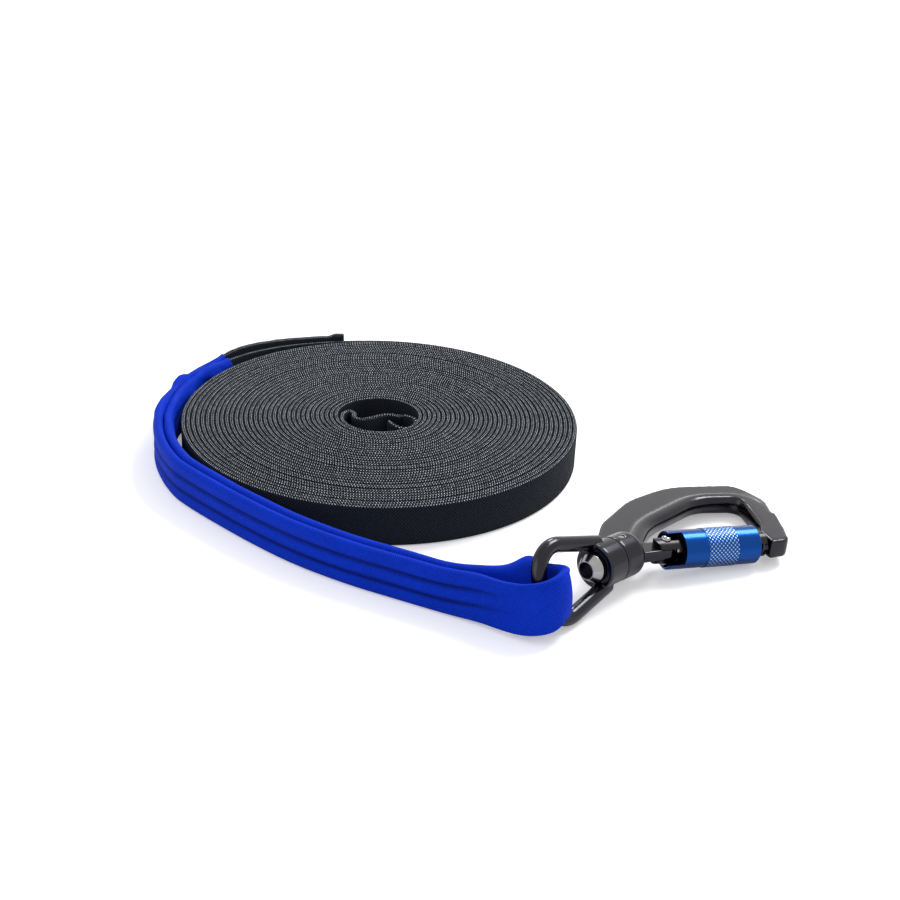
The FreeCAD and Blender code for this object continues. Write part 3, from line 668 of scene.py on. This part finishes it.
    def lay(self) -> list[Station]:
        """Lay the whole strap and mark where its stretches meet.

        Returns:
            Sections from the folded inner end to the sewn tail.
        """
        fold = self.fold()
        coil = fold + self.turns()
        inner, outer = (spline(self.leg(side), 2.0 * MM) for side in (False, True))
        bend = self.bend()
        points = coil + inner + bend + outer[::-1]
        starts = [len(coil), len(coil) + len(inner), len(coil) + len(inner) + len(bend)]
        stations = []
        along = 0.0
        for k, centre in enumerate(points):
            before, after = points[max(k - 1, 0)], points[min(k + 1, len(points) - 1)]
            along += (centre - before).length
            station = self.section_at(centre, (after - before).normalized(), along, k >= starts[0])
            if k < len(fold):
                self.lean(station, (after - before).normalized(), k, len(fold))
            if k >= starts[2]:
                self.sew(station)
            stations.append(station)
        self.marks = {"leg": stations[starts[0]].along, "bend": stations[starts[1]].along,
                      "return": stations[starts[2]].along}
        return stations

    def section_at(self, centre: Vector, tangent: Vector, along: float, off_coil: bool) -> Station:
        """Set a section square to the path, leaning with the bail's bar where it is near.

        Args:
            centre: Its middle on the path.
            tangent: Unit vector along the path.
            along: Length of strap up to here.
            off_coil: Whether it is on a leg or the bend.

        Returns:
            The section's place.
        """
        close = 13 * MM
        near = flare = 0.0
        if off_coil:
            away = (centre - self.bar).length
            near = smooth(62 * MM, close, away) if away > close else 1.0
            flare = 4.2 * MM * smooth(34 * MM, 11 * MM, away)
        wide = UP.lerp(self.bar_axis, near * 0.5).normalized()
        deep = tangent.cross(wide).normalized()
        wide = deep.cross(tangent).normalized()
        if off_coil:
            # The loop drops a little where it hangs in the bail.
            centre = centre - wide * 2.5 * MM * smooth(40 * MM, close, away)
        front = smooth(-0.2, 1.0, -(centre - self.bar).normalized().dot(self.left)) * near
        return Station(centre, wide, deep, along, near, flare, front)

    @staticmethod
    def lean(station: Station, tangent: Vector, index: int, count: int) -> None:
        """Tip a section of the eye's fold, which is doubled and stands a little askew."""
        station.sewn = 0.35
        angle = math.radians(34 * math.sin(index / 5.5) * (1 - index / count))
        tip = Matrix.Rotation(angle, 3, tangent)
        station.wide, station.deep = tip @ station.wide, tip @ station.deep

    def sew(self, station: Station) -> None:
        """Thicken and lift a section of the folded end, which stands proud of the coil."""
        angle = station.angle
        if angle > 180:
            return
        share = smooth(self.sleeve_angle + 6, self.sleeve_angle - 8, angle)
        knob = smooth(self.tail_angle + 5, self.tail_angle + 1.5, angle)
        lump = noise.noise(Vector((angle / 2.6, 1.0, 5.0)))
        station.sewn = share * (0.5 + 0.3 * lump) + 0.3 * knob
        station.centre = station.centre + UP * (share * (3.6 + 0.9 * lump) + 1.2 * knob) * MM


# --------------------------------------------------------------- swept meshes
def add_piece(name: str, mesh: bpy.types.Mesh, body: str, material: bpy.types.Material) -> bpy.types.Object:
    """Put a mesh in the scene as a piece that rides on a body.

    Args:
        name: The piece's name.
        mesh: Its mesh, in metres in the shared frame.
        body: The body that it moves with.
        material: Its material.

    Returns:
        The object.
    """
    piece = bpy.data.objects.new(name, mesh)
    bpy.context.scene.collection.objects.link(piece)
    mesh.materials.clear()
    mesh.materials.append(material)
    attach(piece, body)
    return piece


def smooth_faces(mesh: bpy.types.Mesh) -> None:
    """Shade every face of a mesh smoothly."""
    mesh.polygons.foreach_set("use_smooth", [True] * len(mesh.polygons))


def sweep(name: str, stations: Sequence[Station], section: Callable[[Station], Section],
          capped: bool = True) -> bpy.types.Mesh:
    """Skin a closed section along stations.

    Args:
        name: The mesh's name.
        stations: Where the sections stand.
        section: Gives (width, depth, crease shade) points for a station, the same number each time; the third is
            how deep in a channel the point lies, which sets the painted crease shade.
        capped: Whether the two ends are closed.

    Returns:
        A mesh with the strap's length and girth, in metres, as its UV map.
    """
    vertices: list[Vector] = []
    creases: list[float] = []
    girths: list[list[float]] = []
    for station in stations:
        points = section(station)
        girth = [0.0]
        for k, (wide, deep, crease_shade) in enumerate(points):
            vertices.append(station.point(wide, deep))
            creases.append(crease_shade)
            other = points[(k + 1) % len(points)]
            girth.append(girth[-1] + math.hypot(other[0] - wide, other[1] - deep))
        girths.append(girth)
    count = len(creases) // len(stations)
    faces, marks = [], []
    for row, (near, far) in enumerate(zip(stations, stations[1:])):
        low, high = row * count, (row + 1) * count
        for k in range(count):
            after = (k + 1) % count
            faces.append((low + k, high + k, high + after, low + after))
            marks.append(((near.along, girths[row][k]), (far.along, girths[row + 1][k]),
                          (far.along, girths[row + 1][k + 1]), (near.along, girths[row][k + 1])))
    if capped:
        for row, order in ((0, 1), (len(stations) - 1, -1)):
            loop = range(count)[::order]
            faces.append(tuple(row * count + k for k in loop))
            marks.append(tuple((stations[row].along, girths[row][k]) for k in loop))
    mesh = bpy.data.meshes.new(name)
    mesh.from_pydata([tuple(v) for v in vertices], [], faces)
    flat = [c for face in marks for pair in face for c in pair]
    mesh.uv_layers.new(name="strap").data.foreach_set("uv", flat)
    # This attribute holds how deep in a channel each point lies, which sets the painted crease shade.
    mesh.attributes.new("crease_shade", "FLOAT", "POINT").data.foreach_set("value", creases)
    smooth_faces(mesh)
    mesh.update()
    return mesh


def tube_with_wall(mesh: bpy.types.Mesh, inner: bpy.types.Mesh, rows: int) -> bpy.types.Mesh:
    """Join an outer and an inner skin of the same layout, with a rim at each end.

    Args:
        mesh: The outer skin.
        inner: The inner skin.
        rows: How many sections each has.

    Returns:
        One closed mesh.
    """
    count = len(mesh.vertices) // rows
    joined = bpy.data.meshes.new(mesh.name)
    vertices = [tuple(v.co) for v in mesh.vertices] + [tuple(v.co) for v in inner.vertices]
    shift = len(mesh.vertices)
    faces = [tuple(p.vertices) for p in mesh.polygons]
    faces += [tuple(v + shift for v in reversed(p.vertices)) for p in inner.polygons]
    last = (rows - 1) * count
    for k in range(count):
        after = (k + 1) % count
        faces.append((k, after, after + shift, k + shift))
        faces.append((last + after, last + k, last + k + shift, last + after + shift))
    joined.from_pydata(vertices, [], faces)
    places = [tuple(d.uv) for d in mesh.uv_layers["strap"].data]
    lining = inner.uv_layers["strap"].data
    for polygon in inner.polygons:
        places += reversed([tuple(lining[i].uv) for i in polygon.loop_indices])
    places += [(0.0, 0.0)] * (len(joined.loops) - len(places))
    joined.uv_layers.new(name="strap").data.foreach_set("uv", [c for pair in places for c in pair])
    values = [d.value for d in mesh.attributes["crease_shade"].data]
    joined.attributes.new("crease_shade", "FLOAT", "POINT").data.foreach_set("value", values * 2)
    smooth_faces(joined)
    joined.update()
    return joined


# ---------------------------------------------------------------- soft pieces
@dataclass
class WebbingLine:
    """The whole webbing as one strap, from its eye to its sewn tail.

    Attributes:
        path: Where it lies.
        sag: How far the strap hangs in the bail, inside the sleeve.
    """

    path: StrapPath
    sag: float = 3.8 * MM

    def section(self, sewn: float = 0.0, front: float = 0.0) -> Section:
        """Draw the flat strap with its rounded selvedges.

        Args:
            sewn: Share by which it is thicker.
            front: Share of the sag.

        Returns:
            Points round the section.
        """
        radius = self.path.thickness / 2 * (1 + sewn)
        flat = self.path.width / 2 - radius
        drop = self.sag * front
        points = []
        for side in (1, -1):
            points += [(side * flat * share - drop, side * radius, 0.0) for share in (-1, -0.5, 0.0, 0.5)]
            for turn in map(math.radians, (90, 60, 30, 0, -30, -60)):
                points.append((side * (flat + radius * math.cos(turn)) - drop,
                               side * radius * math.sin(turn), 0.0))
        return points

    def crown(self) -> float:
        """Girth from the section's first point to the crown of its upper selvedge."""
        points = self.section()
        top = max(range(len(points)), key=lambda k: points[k][0])
        return sum(math.hypot(b[0] - a[0], b[1] - a[1]) for a, b in zip(points[:top], points[1:top + 1]))

    def build(self) -> list[bpy.types.Object]:
        """Build the piece.

        Returns:
            The piece, in a list of one.
        """
        stations = self.path.stations
        mesh = sweep("webbing_line", stations, lambda s: self.section(s.sewn, s.front))
        material = WovenWebbing(crown=self.crown()).material()
        piece = add_piece("webbing_line", mesh, "line", material)
        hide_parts("webbing_coil", "webbing_loop")
        return [piece]


@dataclass
class ChafeSleeve:
    """The limp tubular sleeve over both legs and the bend.

    Attributes:
        path: The strap's path, which it follows.
        half_depth: Half its depth where it lies flat.
        half_height: Half its height.
        wall: Thickness of the cloth.
    """

    path: StrapPath
    half_depth: float = 2.75 * MM
    half_height: float = 13.5 * MM
    wall: float = 0.7 * MM

    def __post_init__(self) -> None:
        """Find the stations that it covers, its two ends and the middle of the bend."""
        path = self.path
        self.covered = [s for s in path.stations if s.along >= path.marks["leg"]
                        and (s.angle >= path.sleeve_angle or s.near_bar > 0)]
        self.first, self.last = self.covered[0].along, self.covered[-1].along
        self.middle = (path.marks["bend"] + path.marks["return"]) / 2

    def wrinkle(self, along: float, wide: float) -> float:
        """Work out the folds that bunch up towards both of the sleeve's ends.

        Args:
            along: Length of strap up to here.
            wide: Place up the sleeve's height.

        Returns:
            How far the cloth stands out.
        """
        fade = smooth(135 * MM, 8 * MM, min(along - self.first, self.last - along))
        seed = Vector((along / (19 * MM), wide / (12 * MM), 0.5 if along < self.middle else 4.5))
        small = Vector((along / (34 * MM), wide / (16 * MM), 9.0))
        return noise.noise(seed) * 7.0 * MM * fade + noise.noise(small) * 0.5 * MM

    def reach(self, station: Station, inset: float) -> tuple[float, float]:
        """Work out how high and how low the sleeve reaches.

        Args:
            station: The section's place.
            inset: How far it is drawn inside the sleeve.

        Returns:
            Heights above and below the section's middle.
        """
        # Behind the bar the tube stands up in a peak; before it the slack sags to the floor.
        peak = 4.0 * MM * math.exp(-((station.along - self.middle + 27 * MM) / (9 * MM)) ** 2)
        high = self.half_height + peak + (0.9 * station.near_bar - 3.0 * station.front) * MM - inset
        high -= 1.5 * MM * smooth(30 * MM, 12 * MM, abs(station.along - self.middle))
        low = self.half_height + (0.5 * station.near_bar + 4.0 * station.front) * MM - inset
        return high, low

    def outline(self, station: Station, inset: float, steps: int = 18) -> Section:
        """Draw the sleeve's section.

        Args:
            station: The section's place.
            inset: How far it is drawn inside the sleeve; 0 is its outer skin.
            steps: Spans of each side.

        Returns:
            Points round the section, with how deep in a channel each lies, which sets its painted crease shade.
        """
        away = abs(station.along - self.middle)
        plain = smooth(22 * MM, 60 * MM, away)
        high, low = self.reach(station, inset)
        depth = self.half_depth - inset
        # The cloth swells on the bend, and is slack towards the coil on its inner run.
        bulge = 3.0 * MM * smooth(26 * MM, 9 * MM, away)
        slack = 1.1 * MM * smooth(90 * MM, 150 * MM, self.middle - station.along)
        points = []
        for side in (1, -1):
            for k in range(steps + 1):
                share = (2 * k / steps - 1) * side
                wide = share * ((high if share > 0 else low) - depth)
                channel = math.exp(-((abs(wide) - 4.4 * MM) / (1.05 * MM)) ** 2) * plain
                crown = 0.35 * MM * math.cos(math.pi * wide / (8.8 * MM)) ** 2 * plain
                fold = min(2.6 * MM, max(-0.35 * MM, self.wrinkle(station.along, wide)))
                rise = 0.0 if inset else crown - 1.6 * MM * channel + fold
                if side < 0:
                    rise += (bulge + slack) * (1 - share ** 2)
                points.append((wide, side * (depth + rise), channel))
            for turn in map(math.radians, (65, 40, 14, -14, -40, -65)):
                top = (high if side > 0 else low) - depth + depth * math.cos(turn)
                sway = 0.0 if inset or side < 0 else self.wrinkle(station.along, self.half_height)
                points.append((side * (top + min(2.2 * MM, max(sway, -0.5 * MM) * 0.6)),
                               side * depth * math.sin(turn) - sway * 0.5, 0.0))
        return points

    def build(self) -> list[bpy.types.Object]:
        """Build the piece.

        Returns:
            The piece, in a list of one.
        """
        skins = [sweep("chafe_tube", self.covered, lambda s, inset=inset: self.outline(s, inset), capped=False)
                 for inset in (0.0, self.wall)]
        mesh = tube_with_wall(*skins, len(self.covered))
        piece = add_piece("chafe_tube", mesh, "line", TubularSleeve().material())
        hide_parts("chafe_sleeve")
        return [piece]


@dataclass
class BarTacks:
    """Zigzag bar tacks that sew the folded end down, on the tail's outer face.

    Attributes:
        path: The strap's path.
        angles: Where the tacks lie, about the coil.
        thread: Radius of the thread.
        throw: Half the zigzag's width.
        stitches: Stitches in a tack.
    """

    path: StrapPath
    angles: tuple[float, ...] = (108.0, 116.0, 124.0, 132.0)
    thread: float = 0.22 * MM
    throw: float = 1.1 * MM
    stitches: int = 34

    def build(self) -> list[bpy.types.Object]:
        """Build the piece.

        Returns:
            The piece, in a list of one.
        """
        path = self.path
        tail = [s for s in path.stations if s.along > path.marks["return"] and s.angle < path.sleeve_angle]
        low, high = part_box("bar_tacks")
        half = (high[2] - low[2]) / 2
        curve = bpy.data.curves.new("bar_tack_stitches", "CURVE")
        curve.dimensions = "3D"
        curve.bevel_depth = self.thread
        curve.bevel_resolution = 2
        for angle in self.angles:
            near = min(tail, key=lambda s: abs(s.angle - angle))
            line = curve.splines.new("POLY")
            line.points.add(self.stitches)
            tangent = near.wide.cross(near.deep)
            out = near.deep * -(path.thickness / 2 + 0.1 * MM)
            for k in range(self.stitches + 1):
                up = near.wide * half * (2 * k / self.stitches - 1)
                side = tangent * (self.throw if k % 2 else -self.throw)
                line.points[k].co = (*(near.centre + up + side + out), 1.0)
        holder = bpy.data.objects.new("stitch_curve", curve)
        mesh = bpy.data.meshes.new_from_object(holder)
        bpy.data.objects.remove(holder)
        piece = add_piece("bar_tack_stitches", mesh, "line", SmallPart.TWISTED_THREAD.value.material())
        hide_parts("bar_tacks")
        return [piece]


# ----------------------------------------------------------------- hard pieces
@dataclass(frozen=True)
class Forging:
    """A hard piece whose edges and joins are blended as a die and tumbling leave them.

    Attributes:
        node: The CAD node that gives the shape.
        name: The new piece's name.
        body: The body that it moves with.
        slot: The record's material slot; not used.
        grain: Spacing of the new surface's points.
        passes: How many times the surface is relaxed.
        soft_passes: How many times more where it is blended most.
    """

    node: str
    name: str
    body: str
    slot: str
    grain: float
    passes: int
    soft_passes: int = 200

    def blank(self, mesh: bpy.types.Mesh) -> bpy.types.Object:
        """Put a mesh in the scene to be worked on."""
        blank = bpy.data.objects.new(self.name + "_blank", mesh)
        bpy.context.scene.collection.objects.link(blank)
        return blank

    def remeshed(self) -> bpy.types.Mesh:
        """Resurface the node evenly.

        Returns:
            The new surface.
        """
        blank = self.blank(frame["nodes"][self.node].data.copy())
        remesh = blank.modifiers.new("grain", "REMESH")
        remesh.mode = "VOXEL"
        remesh.voxel_size = self.grain
        return self.applied(blank)

    def relaxed(self, mesh: bpy.types.Mesh, soft: Callable[[Vector], float] | None) -> bpy.types.Mesh:
        """Blend a surface's edges.

        Args:
            mesh: The surface.
            soft: How much more a point is blended, from 0 to 1.

        Returns:
            The blended surface.
        """
        blank = self.blank(mesh)
        relax = blank.modifiers.new("blend", "SMOOTH")
        relax.factor = 0.5
        relax.iterations = self.passes
        if soft:
            group = blank.vertex_groups.new(name="soft")
            for vertex in mesh.vertices:
                share = soft(vertex.co)
                if share > 0:
                    group.add([vertex.index], share, "REPLACE")
            more = blank.modifiers.new("nose", "SMOOTH")
            more.factor = 0.5
            more.iterations = self.soft_passes
            more.vertex_group = "soft"
        return self.applied(blank)

    @staticmethod
    def applied(blank: bpy.types.Object) -> bpy.types.Mesh:
        """Take an object's mesh with its modifiers and drop the object.

        Args:
            blank: The object.

        Returns:
            Its mesh.
        """
        bpy.context.view_layer.update()
        evaluated = blank.evaluated_get(bpy.context.evaluated_depsgraph_get())
        mesh = bpy.data.meshes.new_from_object(evaluated)
        bpy.data.objects.remove(blank)
        return mesh

    def build(self, material: bpy.types.Material, shape: Callable[[Vector], Vector] | None = None,
              soft: Callable[[Vector], float] | None = None) -> bpy.types.Object:
        """Build the piece.

        Args:
            material: Its material.
            shape: Moves the even surface's points before they are blended.
            soft: How much more a point is blended, from 0 to 1.

        Returns:
            The piece.
        """
        mesh = self.remeshed()
        if shape:
            for vertex in mesh.vertices:
                vertex.co = shape(vertex.co)
        mesh = self.relaxed(mesh, soft)
        mesh.name = self.name
        smooth_faces(mesh)
        piece = add_piece(self.name, mesh, self.body, material)
        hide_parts(self.node)
        return piece


@dataclass
class HookNose:
    """The hook's nose, and how it runs into the web. Places are from the gate's hinge.

    Attributes:
        web_across: Where, across the gate, the web starts to thicken and is thickest.
        web_along: The same along the gate.
        thickening: Share by which it thickens.
        half_thickness: Half the greatest thickness that this gives.
        face: Direction that the nose's outer face looks, along and across.
        face_place: A point of that face, along and across.
        swell: How far the face is pushed out, at most.
        swell_middle: Where across the gate that is.
        swell_spread: How wide the swelling is.
        swell_depth: Distances behind the face at which the push starts and is full.
        swell_stop: Where across the gate the swelling ends.
        cap_from: Where across the gate the push is held back.
        cap: How far beyond the face a point may then stand.
        nose_along: Where, along the gate, the extra blending starts and is full.
        nose_across: The same across the gate.
    """

    web_across: tuple[float, float] = (62 * MM, 34 * MM)
    web_along: tuple[float, float] = (46 * MM, 60 * MM)
    thickening: float = 0.5
    half_thickness: float = 5.7 * MM
    face: tuple[float, float] = (0.971, -0.238)
    face_place: tuple[float, float] = (75 * MM, -8 * MM)
    swell: float = 1.8 * MM
    swell_middle: float = 27 * MM
    swell_spread: float = 17 * MM
    swell_depth: tuple[float, float] = (-12 * MM, -0.5 * MM)
    swell_stop: float = -4 * MM
    cap_from: float = 2 * MM
    cap: float = 1.3 * MM
    nose_along: tuple[float, float] = (60 * MM, 64 * MM)
    nose_across: tuple[float, float] = (44 * MM, 30 * MM)

    def __post_init__(self) -> None:
        """Take the closed gate's axes: along it, up its hinge pin, and across it."""
        hinge = joint_named("gate_open")
        self.origin = Vector(hinge["pos_m"])
        self.along = Vector(joint_named("sleeve_turn")["axis"]).normalized()
        self.up = Vector(hinge["axis"]).normalized()
        self.across = self.up.cross(self.along)

    def faired(self, point: Vector) -> Vector:
        """Thicken and widen the web towards the nose, so that the two run into each other.

        Args:
            point: A point of the hook's surface.

        Returns:
            Where it moves to.
        """
        local = point - self.origin
        along, across, up = local.dot(self.along), local.dot(self.across), local.dot(self.up)
        share = smooth(*self.web_across, across) * smooth(*self.web_along, along)
        level = min(abs(up) * (1 + self.thickening * share), max(abs(up), self.half_thickness))
        outward = self.along * self.face[0] + self.across * self.face[1]
        beyond = (local - self.along * self.face_place[0] - self.across * self.face_place[1]).dot(outward)
        swell = self.swell * math.exp(-((across - self.swell_middle) / self.swell_spread) ** 2)
        push = swell * smooth(*self.swell_depth, beyond) if across > self.swell_stop else 0.0
        if across > self.cap_from:
            push = min(push, self.cap - beyond)
        return point + self.up * (math.copysign(level, up) - up) + outward * push

    def softness(self, point: Vector) -> float:
        """1 on the nose, 0 elsewhere on the hook."""
        local = point - self.origin
        return smooth(*self.nose_along, local.dot(self.along)) * smooth(*self.nose_across, local.dot(self.across))


def turned_mesh(name: str, profile: Sequence[tuple[float, float]], place: Vector, axis: Vector,
                side: Vector, count: int = 40) -> bpy.types.Mesh:
    """Turn a profile about an axis.

    Args:
        name: The mesh's name.
        profile: Heights along the axis and radii, from one end to the other.
        place: Where the height is zero.
        axis: Unit vector of the axis.
        side: Unit vector square to it.
        count: Facets round it.

    Returns:
        A closed mesh.
    """
    other = axis.cross(side)
    turns = [2 * math.pi * k / count for k in range(count)]
    vertices = [tuple(place + axis * height + (side * math.cos(turn) + other * math.sin(turn)) * radius)
                for height, radius in profile for turn in turns]
    faces = []
    for row in range(len(profile) - 1):
        for k in range(count):
            after = (k + 1) % count
            faces.append((row * count + k, row * count + after, (row + 1) * count + after, (row + 1) * count + k))
    last = (len(profile) - 1) * count
    faces += [tuple(reversed(range(count))), tuple(last + k for k in range(count))]
    mesh = bpy.data.meshes.new(name)
    mesh.from_pydata(vertices, [], faces)
    smooth_faces(mesh)
    return mesh


@dataclass
class Carabiner:
    """The bail, the swivel, the hook and the locking gate.

    Attributes:
        hook: The forged hook.
        bail: The forged bail.
        pin: The swivel's domed pin.
        rivet_reach: From the middle of the hinge rivet to the foot of its head.
        rivet_shank: Radius of its shank.
        rivet_head: Radius of its head.
        rivet_rise: Height of its head.
    """

    hook: Forging = Forging("carabiner_body", "forged_body", "hook", "forged_alloy", 0.45 * MM, 26)
    bail: Forging = Forging("bail", "forged_bail", "bail", "forged_alloy", 0.4 * MM, 14)
    pin: Forging = Forging("swivel_pin", "domed_pin", "hook", "polished_steel", 0.25 * MM, 16)
    rivet_reach: float = 7.0 * MM
    rivet_shank: float = 2.25 * MM
    rivet_head: float = 3.1 * MM
    rivet_rise: float = 1.9 * MM

    def rivet(self, nose: HookNose, material: bpy.types.Material) -> bpy.types.Object:
        """Build the gate's hinge pin, with its two riveted domes.

        Args:
            nose: Gives the hinge's axes.
            material: The rivet's material.

        Returns:
            The piece.
        """
        dome = [(self.rivet_reach + self.rivet_rise * math.sin(a), self.rivet_head * math.cos(a))
                for a in map(math.radians, (0, 18, 36, 54, 72, 86))]
        half = [(0.0, self.rivet_shank), (self.rivet_reach, self.rivet_shank)] + dome
        profile = [(-h, r) for h, r in reversed(half[1:])] + half
        mesh = turned_mesh("hinge_rivet", profile, nose.origin, nose.up, nose.along)
        piece = add_piece("hinge_rivet", mesh, "gate", material)
        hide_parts("hinge_pin")
        return piece

    @staticmethod
    def dress(nodes: Sequence[str], material: bpy.types.Material) -> list[bpy.types.Object]:
        """Give CAD nodes their material.

        Args:
            nodes: The nodes' names.
            material: The material.

        Returns:
            Their objects.
        """
        targets = [frame["nodes"][node] for node in nodes]
        for target in targets:
            if not target.material_slots:
                target.data.materials.append(material)
            for slot in target.material_slots:
                slot.material = material
        return targets

    def build(self) -> list[bpy.types.Object]:
        """Build the blended forgings and dress the small parts.

        Returns:
            Every piece and CAD node that shows.
        """
        gunmetal = TumbledForging().material()
        bright = SmallPart.POLISHED_STEEL.value.material()
        nose = HookNose()
        pieces = [self.hook.build(gunmetal, nose.faired, nose.softness), self.bail.build(gunmetal),
                  self.pin.build(bright), self.rivet(nose, bright)]
        pieces += self.dress(["lock_sleeve"], KnurledAlloy().material())
        pieces += self.dress(["pin_lock_pin"], bright)
        small_parts = {
            SmallPart.TURNED_STEEL: ("gate_plunger", "guide_pin"),
            SmallPart.BLACKENED_STEEL: ("head_washer", "thrust_washer", "sleeve_end_ring"),
            SmallPart.DRAWN_WIRE: ("gate_spring", "sleeve_spring", "sleeve_clip"),
            SmallPart.BLACK_ANODISING: ("gate",),
            SmallPart.SINTERED_BRONZE: ("swivel_bush",),
            SmallPart.MOULDED_ACETAL: ("sleeve_slider",),
            SmallPart.MOULDED_RUBBER: ("seal_ring",),
        }
        for part, nodes in small_parts.items():
            pieces += self.dress(nodes, part.value.material())
        return pieces


# ---------------------------------------------------------------------- studio
@dataclass(frozen=True)
class Lamp:
    """A soft square light aimed at the object."""

    name: str
    place: tuple[float, float, float]
    size: float
    power: float

    def build(self, target: Vector) -> None:
        """Add the light to the scene."""
        light = bpy.data.lights.new(self.name, "AREA")
        light.shape = "SQUARE"
        light.size = self.size
        light.energy = self.power
        lamp = bpy.data.objects.new(self.name, light)
        lamp.location = self.place
        lamp.rotation_euler = (target - Vector(self.place)).to_track_quat("-Z", "Y").to_euler()
        bpy.context.scene.collection.objects.link(lamp)


@dataclass(frozen=True)
class Studio:
    """A pale floor, white surroundings, soft lamps and the camera.

    Attributes:
        floor_half: Half the floor's width.
        floor: Its colour.
        lens: The camera's focal length, in millimetres.
        camera_place: Where the camera stands.
        look_down: How far it looks below the horizon, in degrees.
        roll: How far it is rolled, in degrees.
        sky: Heights from straight down to straight up, and the light from there.
        lamps: The lamps.
    """

    floor_half: float = 6.0
    floor: str = "#f4f4f5"
    lens: float = 60.0
    camera_place: tuple[float, float, float] = (0.0461, -0.8712, 0.4284)
    look_down: float = 26.07
    roll: float = 2.5
    sky: tuple[tuple[float, tuple[float, float, float, float]], ...] = (
        (0.0, (0.4, 0.4, 0.41, 1)), (0.52, (0.14, 0.14, 0.15, 1)), (0.62, (0.4, 0.4, 0.42, 1)),
        (0.78, (0.95, 0.95, 0.97, 1)), (1.0, (0.6, 0.6, 0.62, 1)))
    lamps: tuple[Lamp, ...] = (
        Lamp("key", (0.75, 0.55, 1.15), 0.55, 15.0),
        Lamp("side", (-1.0, -0.5, 0.7), 0.9, 3.0),
        Lamp("strip", (0.15, 0.9, 0.75), 0.22, 2.5))

    def lay_floor(self) -> None:
        """Lay the floor, which fades to white away from the object."""
        half = self.floor_half
        mesh = bpy.data.meshes.new("floor")
        corners = [(-half, -half, 0), (half, -half, 0), (half, half, 0), (-half, half, 0)]
        mesh.from_pydata(corners, [], [(0, 1, 2, 3)])
        floor = bpy.data.objects.new("floor", mesh)
        bpy.context.scene.collection.objects.link(floor)
        material, tree = Finish("matt_pale_floor", 1.0).start()
        base = tree.add("BsdfDiffuse", {"Color": linear(self.floor)})
        away = tree.add("VectorMath", (tree.add("TexCoord", out="Object"),), out="Value", operation="LENGTH")
        glow = tree.add("MapRange", (away, 0.25, 0.9, 0.32, 1.0))
        seen = tree.add("Math", (glow, tree.add("LightPath", out="Is Camera Ray")), operation="MULTIPLY")
        white = tree.add("Emission", {"Color": (1, 1, 1, 1), "Strength": seen})
        tree.add("OutputMaterial", {"Surface": tree.add("AddShader", (base, white))})
        mesh.materials.append(material)
        floor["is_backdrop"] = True

    def light_surroundings(self) -> None:
        """Make the surroundings white, with light that is softer low down."""
        world = bpy.data.worlds.new("studio")
        bpy.context.scene.world = world
        world.use_nodes = True
        tree = Tree(world.node_tree)
        height = tree.add("SeparateXYZ", (tree.add("TexCoord", out="Generated"),), out=2)
        share = tree.add("Math", (height, 0.5, 0.5), operation="MULTIPLY_ADD")
        sky = tree.add("ValToRGB", (share,))
        elements = sky.node.color_ramp.elements
        for element, (place, colour) in zip(elements, (self.sky[0], self.sky[-1])):
            element.position = place
            element.color = colour
        for place, colour in self.sky[1:-1]:
            elements.new(place).color = colour
        camera, glossy, through = (tree.add("LightPath", out=f"Is {kind} Ray")
                                   for kind in ("Camera", "Glossy", "Transmission"))
        white = tree.add("Math", (camera, glossy), operation="MAXIMUM")
        white = tree.add("Math", (white, through), operation="MAXIMUM")
        light = tree.add("Mix", {0: white, 6: sky, 7: (1, 1, 1, 1)}, out=2, data_type="RGBA")
        tree.add("OutputWorld", {"Surface": tree.add("Background", {"Color": light, "Strength": 1.0})})

    def set_camera(self) -> None:
        """Set the camera a little above the object, looking along +Y and down."""
        data = bpy.data.cameras.new("camera")
        data.lens = self.lens
        data.sensor_width = 36.0
        camera = bpy.data.objects.new("camera", data)
        turn = (Matrix.Rotation(math.radians(90.0 - self.look_down), 4, "X")
                @ Matrix.Rotation(math.radians(self.roll), 4, "Z"))
        camera.matrix_world = Matrix.Translation(self.camera_place) @ turn
        bpy.context.scene.collection.objects.link(camera)
        bpy.context.scene.camera = camera

    def build(self) -> None:
        """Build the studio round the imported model."""
        bpy.context.scene.view_settings.view_transform = "Standard"
        low, high = (Vector(corner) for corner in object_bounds())
        self.set_camera()
        self.lay_floor()
        self.light_surroundings()
        for lamp in self.lamps:
            lamp.build((low + high) / 2)


def main() -> None:
    """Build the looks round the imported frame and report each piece."""
    logging.basicConfig(level=logging.INFO)
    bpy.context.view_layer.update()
    Studio().build()
    path = StrapPath()
    for assembly in (WebbingLine(path), ChafeSleeve(path), BarTacks(path), Carabiner()):
        for piece in assembly.build():
            LOG.info("%s: %s, %d faces", type(assembly).__name__, piece.name, len(piece.data.polygons))
    bpy.context.view_layer.update()


if __name__ == "__main__":
    main()
